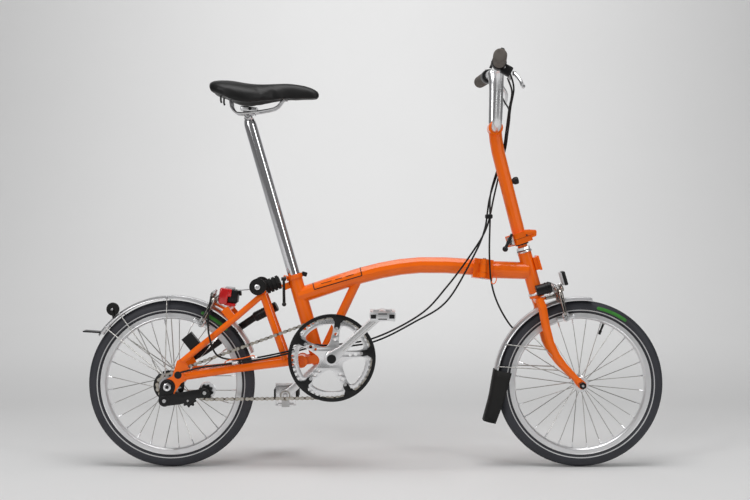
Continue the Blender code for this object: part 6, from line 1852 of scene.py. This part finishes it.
def make_pump():
    """The pump: a tapered nose, body, ribbed handle and its end cap."""
    tip = Vector((-0.4795, 0.0745, 0.2581))
    step = Vector((-0.3091, 0.0582, 0.3744))
    end = Vector((-0.2503, 0.0525, 0.4046))
    along = step - tip
    length = along.length
    body = lathe("body", tip, along, [(0.0, 0.0), (0.0034, 0.0), (0.0042, 0.002), (0.0092, 0.045),
        (0.0094, 0.048), (0.009, 0.05), (0.0092, 0.052), (0.0092, length - 0.006),
        (0.0096, length - 0.003), (0.0096, length), (0.0, length)], 28)
    reach = (end - step).length
    profile = [(0.0, 0.0), (0.0105, 0.0), (0.0124, 0.0018)]
    for k in range(8):
        base = 0.005 + (reach - 0.012) * k / 8.0
        width = (reach - 0.012) / 8.0
        profile += [(0.0129, base), (0.0129, base + width * 0.6), (0.0122, base + width * 0.7),
            (0.0122, base + width * 0.95)]
    profile += [(0.0129, reach - 0.006), (0.0126, reach - 0.0018), (0.0108, reach), (0.0, reach)]
    handle = lathe("handle", step, end - step, profile, 28)
    return put(joined("pump_detail", [painted(body, BLACK), painted(handle, BLACK)]), "rear_frame",
        None, "pump")


make_pump()


def make_rollers():
    for name, y, body in (("right_roller", -0.047, "right_roller"),
            ("left_roller", 0.047, "left_roller")):
        low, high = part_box(name)
        half = (high.y - low.y) / 2.0
        middle = (high.y + low.y) / 2.0
        radius = (high.x - low.x) / 2.0
        inner = 0.0047
        profile = [(inner, middle - half), (radius * 0.8, middle - half),
            (radius * 0.84, middle - half + 0.001), (radius * 0.96, middle - half + 0.0006),
            (radius, middle - half + 0.0024), (radius, middle + half - 0.0024),
            (radius * 0.96, middle + half - 0.0006), (radius * 0.84, middle + half - 0.001),
            (radius * 0.8, middle + half), (inner, middle + half)]
        wheel = painted(ring("roll", ROLLER_AXLE, profile, 48), RUBBER)
        put(joined(name + "_detail", [wheel]), body, None, name)
        side = -1.0 if y < 0.0 else 1.0
        end = Vector((ROLLER_AXLE.x, side * 0.0562, ROLLER_AXLE.z))
        cap = [(0.0, 0.0), (0.007, 0.0), (0.007, 0.0008), (0.0052, 0.0014), (0.005, 0.003),
            (0.0042, 0.0036), (0.0022, 0.0036), (0.0018, 0.0024), (0.0, 0.0022)]
        put(lathe(name + "_bolt", end, (0.0, side, 0.0), cap, 24), "rear_frame", ALLOY)


make_rollers()


# ------------------------------------------------------------------ stage, lights and camera


FLOOR_TONE = 0.8
FLOOR_NEAR = -14.0
FLOOR_FAR = 3.0
FLOOR_SIDE = 16.0
FLOOR_DROP = 0.0004
SWEEP_R = 3.5
SWEEP_STEPS = 24
WALL_TOP = 9.0
WORLD_STRENGTH = 0.16
LAMPS = (  # name, place, target, width, watts, height
    ("overhead", (0.0, -0.5, 3.2), (0.0, 0.0, 0.3), 2.4, 58.0, 1.6),
    ("front_left", (-2.6, -3.2, 2.2), (0.0, 0.0, 0.5), 1.1, 46.0, 2.4),
    ("front_right", (3.0, -2.8, 1.9), (0.0, 0.0, 0.5), 0.7, 28.0, 2.4),
    ("backdrop_glow", (0.0, 1.9, 4.2), (0.0, 6.5, 3.2), 2.6, 170.0, None),
)
CAMERA_PLACE = (0.0046, -2.9, 0.628)
CAMERA_LENS = 54.5
CAMERA_SENSOR = 36.0
CAMERA_SHIFT = -0.04
CAMERA_REACH = 50.0


def stage_material(name, tone):
    graph = Graph(name)
    broad = graph.noise(1.5, 3.0)
    stops = [(0.3, (tone * 0.99,) * 3), (0.7, (tone,) * 3)]
    graph.join(graph.ramp(broad, stops), graph.shader.inputs["Base Color"])
    graph.join(graph.spread(broad, 0.8, 0.9), graph.shader.inputs["Roughness"])
    graph.set("Specular IOR Level", 0.15)
    return graph.material


def make_stage():
    """A pale floor that curves up into a wall behind the bicycle."""
    profile = [(FLOOR_NEAR, 0.0), (FLOOR_FAR, 0.0)]
    for k in range(1, SWEEP_STEPS + 1):
        turn = math.pi / 2.0 * k / SWEEP_STEPS
        profile.append((FLOOR_FAR + SWEEP_R * math.sin(turn), SWEEP_R - SWEEP_R * math.cos(turn)))
    profile.append((FLOOR_FAR + SWEEP_R, WALL_TOP))
    corners = []
    for y, z in profile:
        corners.append((-FLOOR_SIDE, y, z - FLOOR_DROP))
        corners.append((FLOOR_SIDE, y, z - FLOOR_DROP))
    floor = raw("studio_floor", corners, sheet(len(profile), 2), 60.0)
    painted(floor, stage_material("studio_floor", FLOOR_TONE))


make_stage()


def area(name, place, target, size, power, size_y):
    lamp = bpy.data.lights.new(name, "AREA")
    lamp.energy = power
    lamp.size = size
    if size_y:
        lamp.shape = "RECTANGLE"
        lamp.size_y = size_y
    made = holder(name, lamp)
    made.location = place
    made.rotation_euler = (Vector(target) - Vector(place)).to_track_quat("-Z", "Y").to_euler()


for lamp_row in LAMPS:
    area(*lamp_row)

world = bpy.data.worlds.new("studio")
world.use_nodes = True
background = world.node_tree.nodes["Background"]
background.inputs[0].default_value = (1.0, 1.0, 1.0, 1.0)
background.inputs[1].default_value = WORLD_STRENGTH
bpy.context.scene.world = world
bpy.context.scene.view_settings.view_transform = "Standard"

lens = bpy.data.cameras.new("camera")
lens.lens = CAMERA_LENS
lens.sensor_width = CAMERA_SENSOR
lens.shift_y = CAMERA_SHIFT
lens.clip_end = CAMERA_REACH
camera = holder("camera", lens)
camera.location = CAMERA_PLACE
camera.rotation_euler = (math.pi / 2.0, 0.0, 0.0)
bpy.context.scene.camera = camera
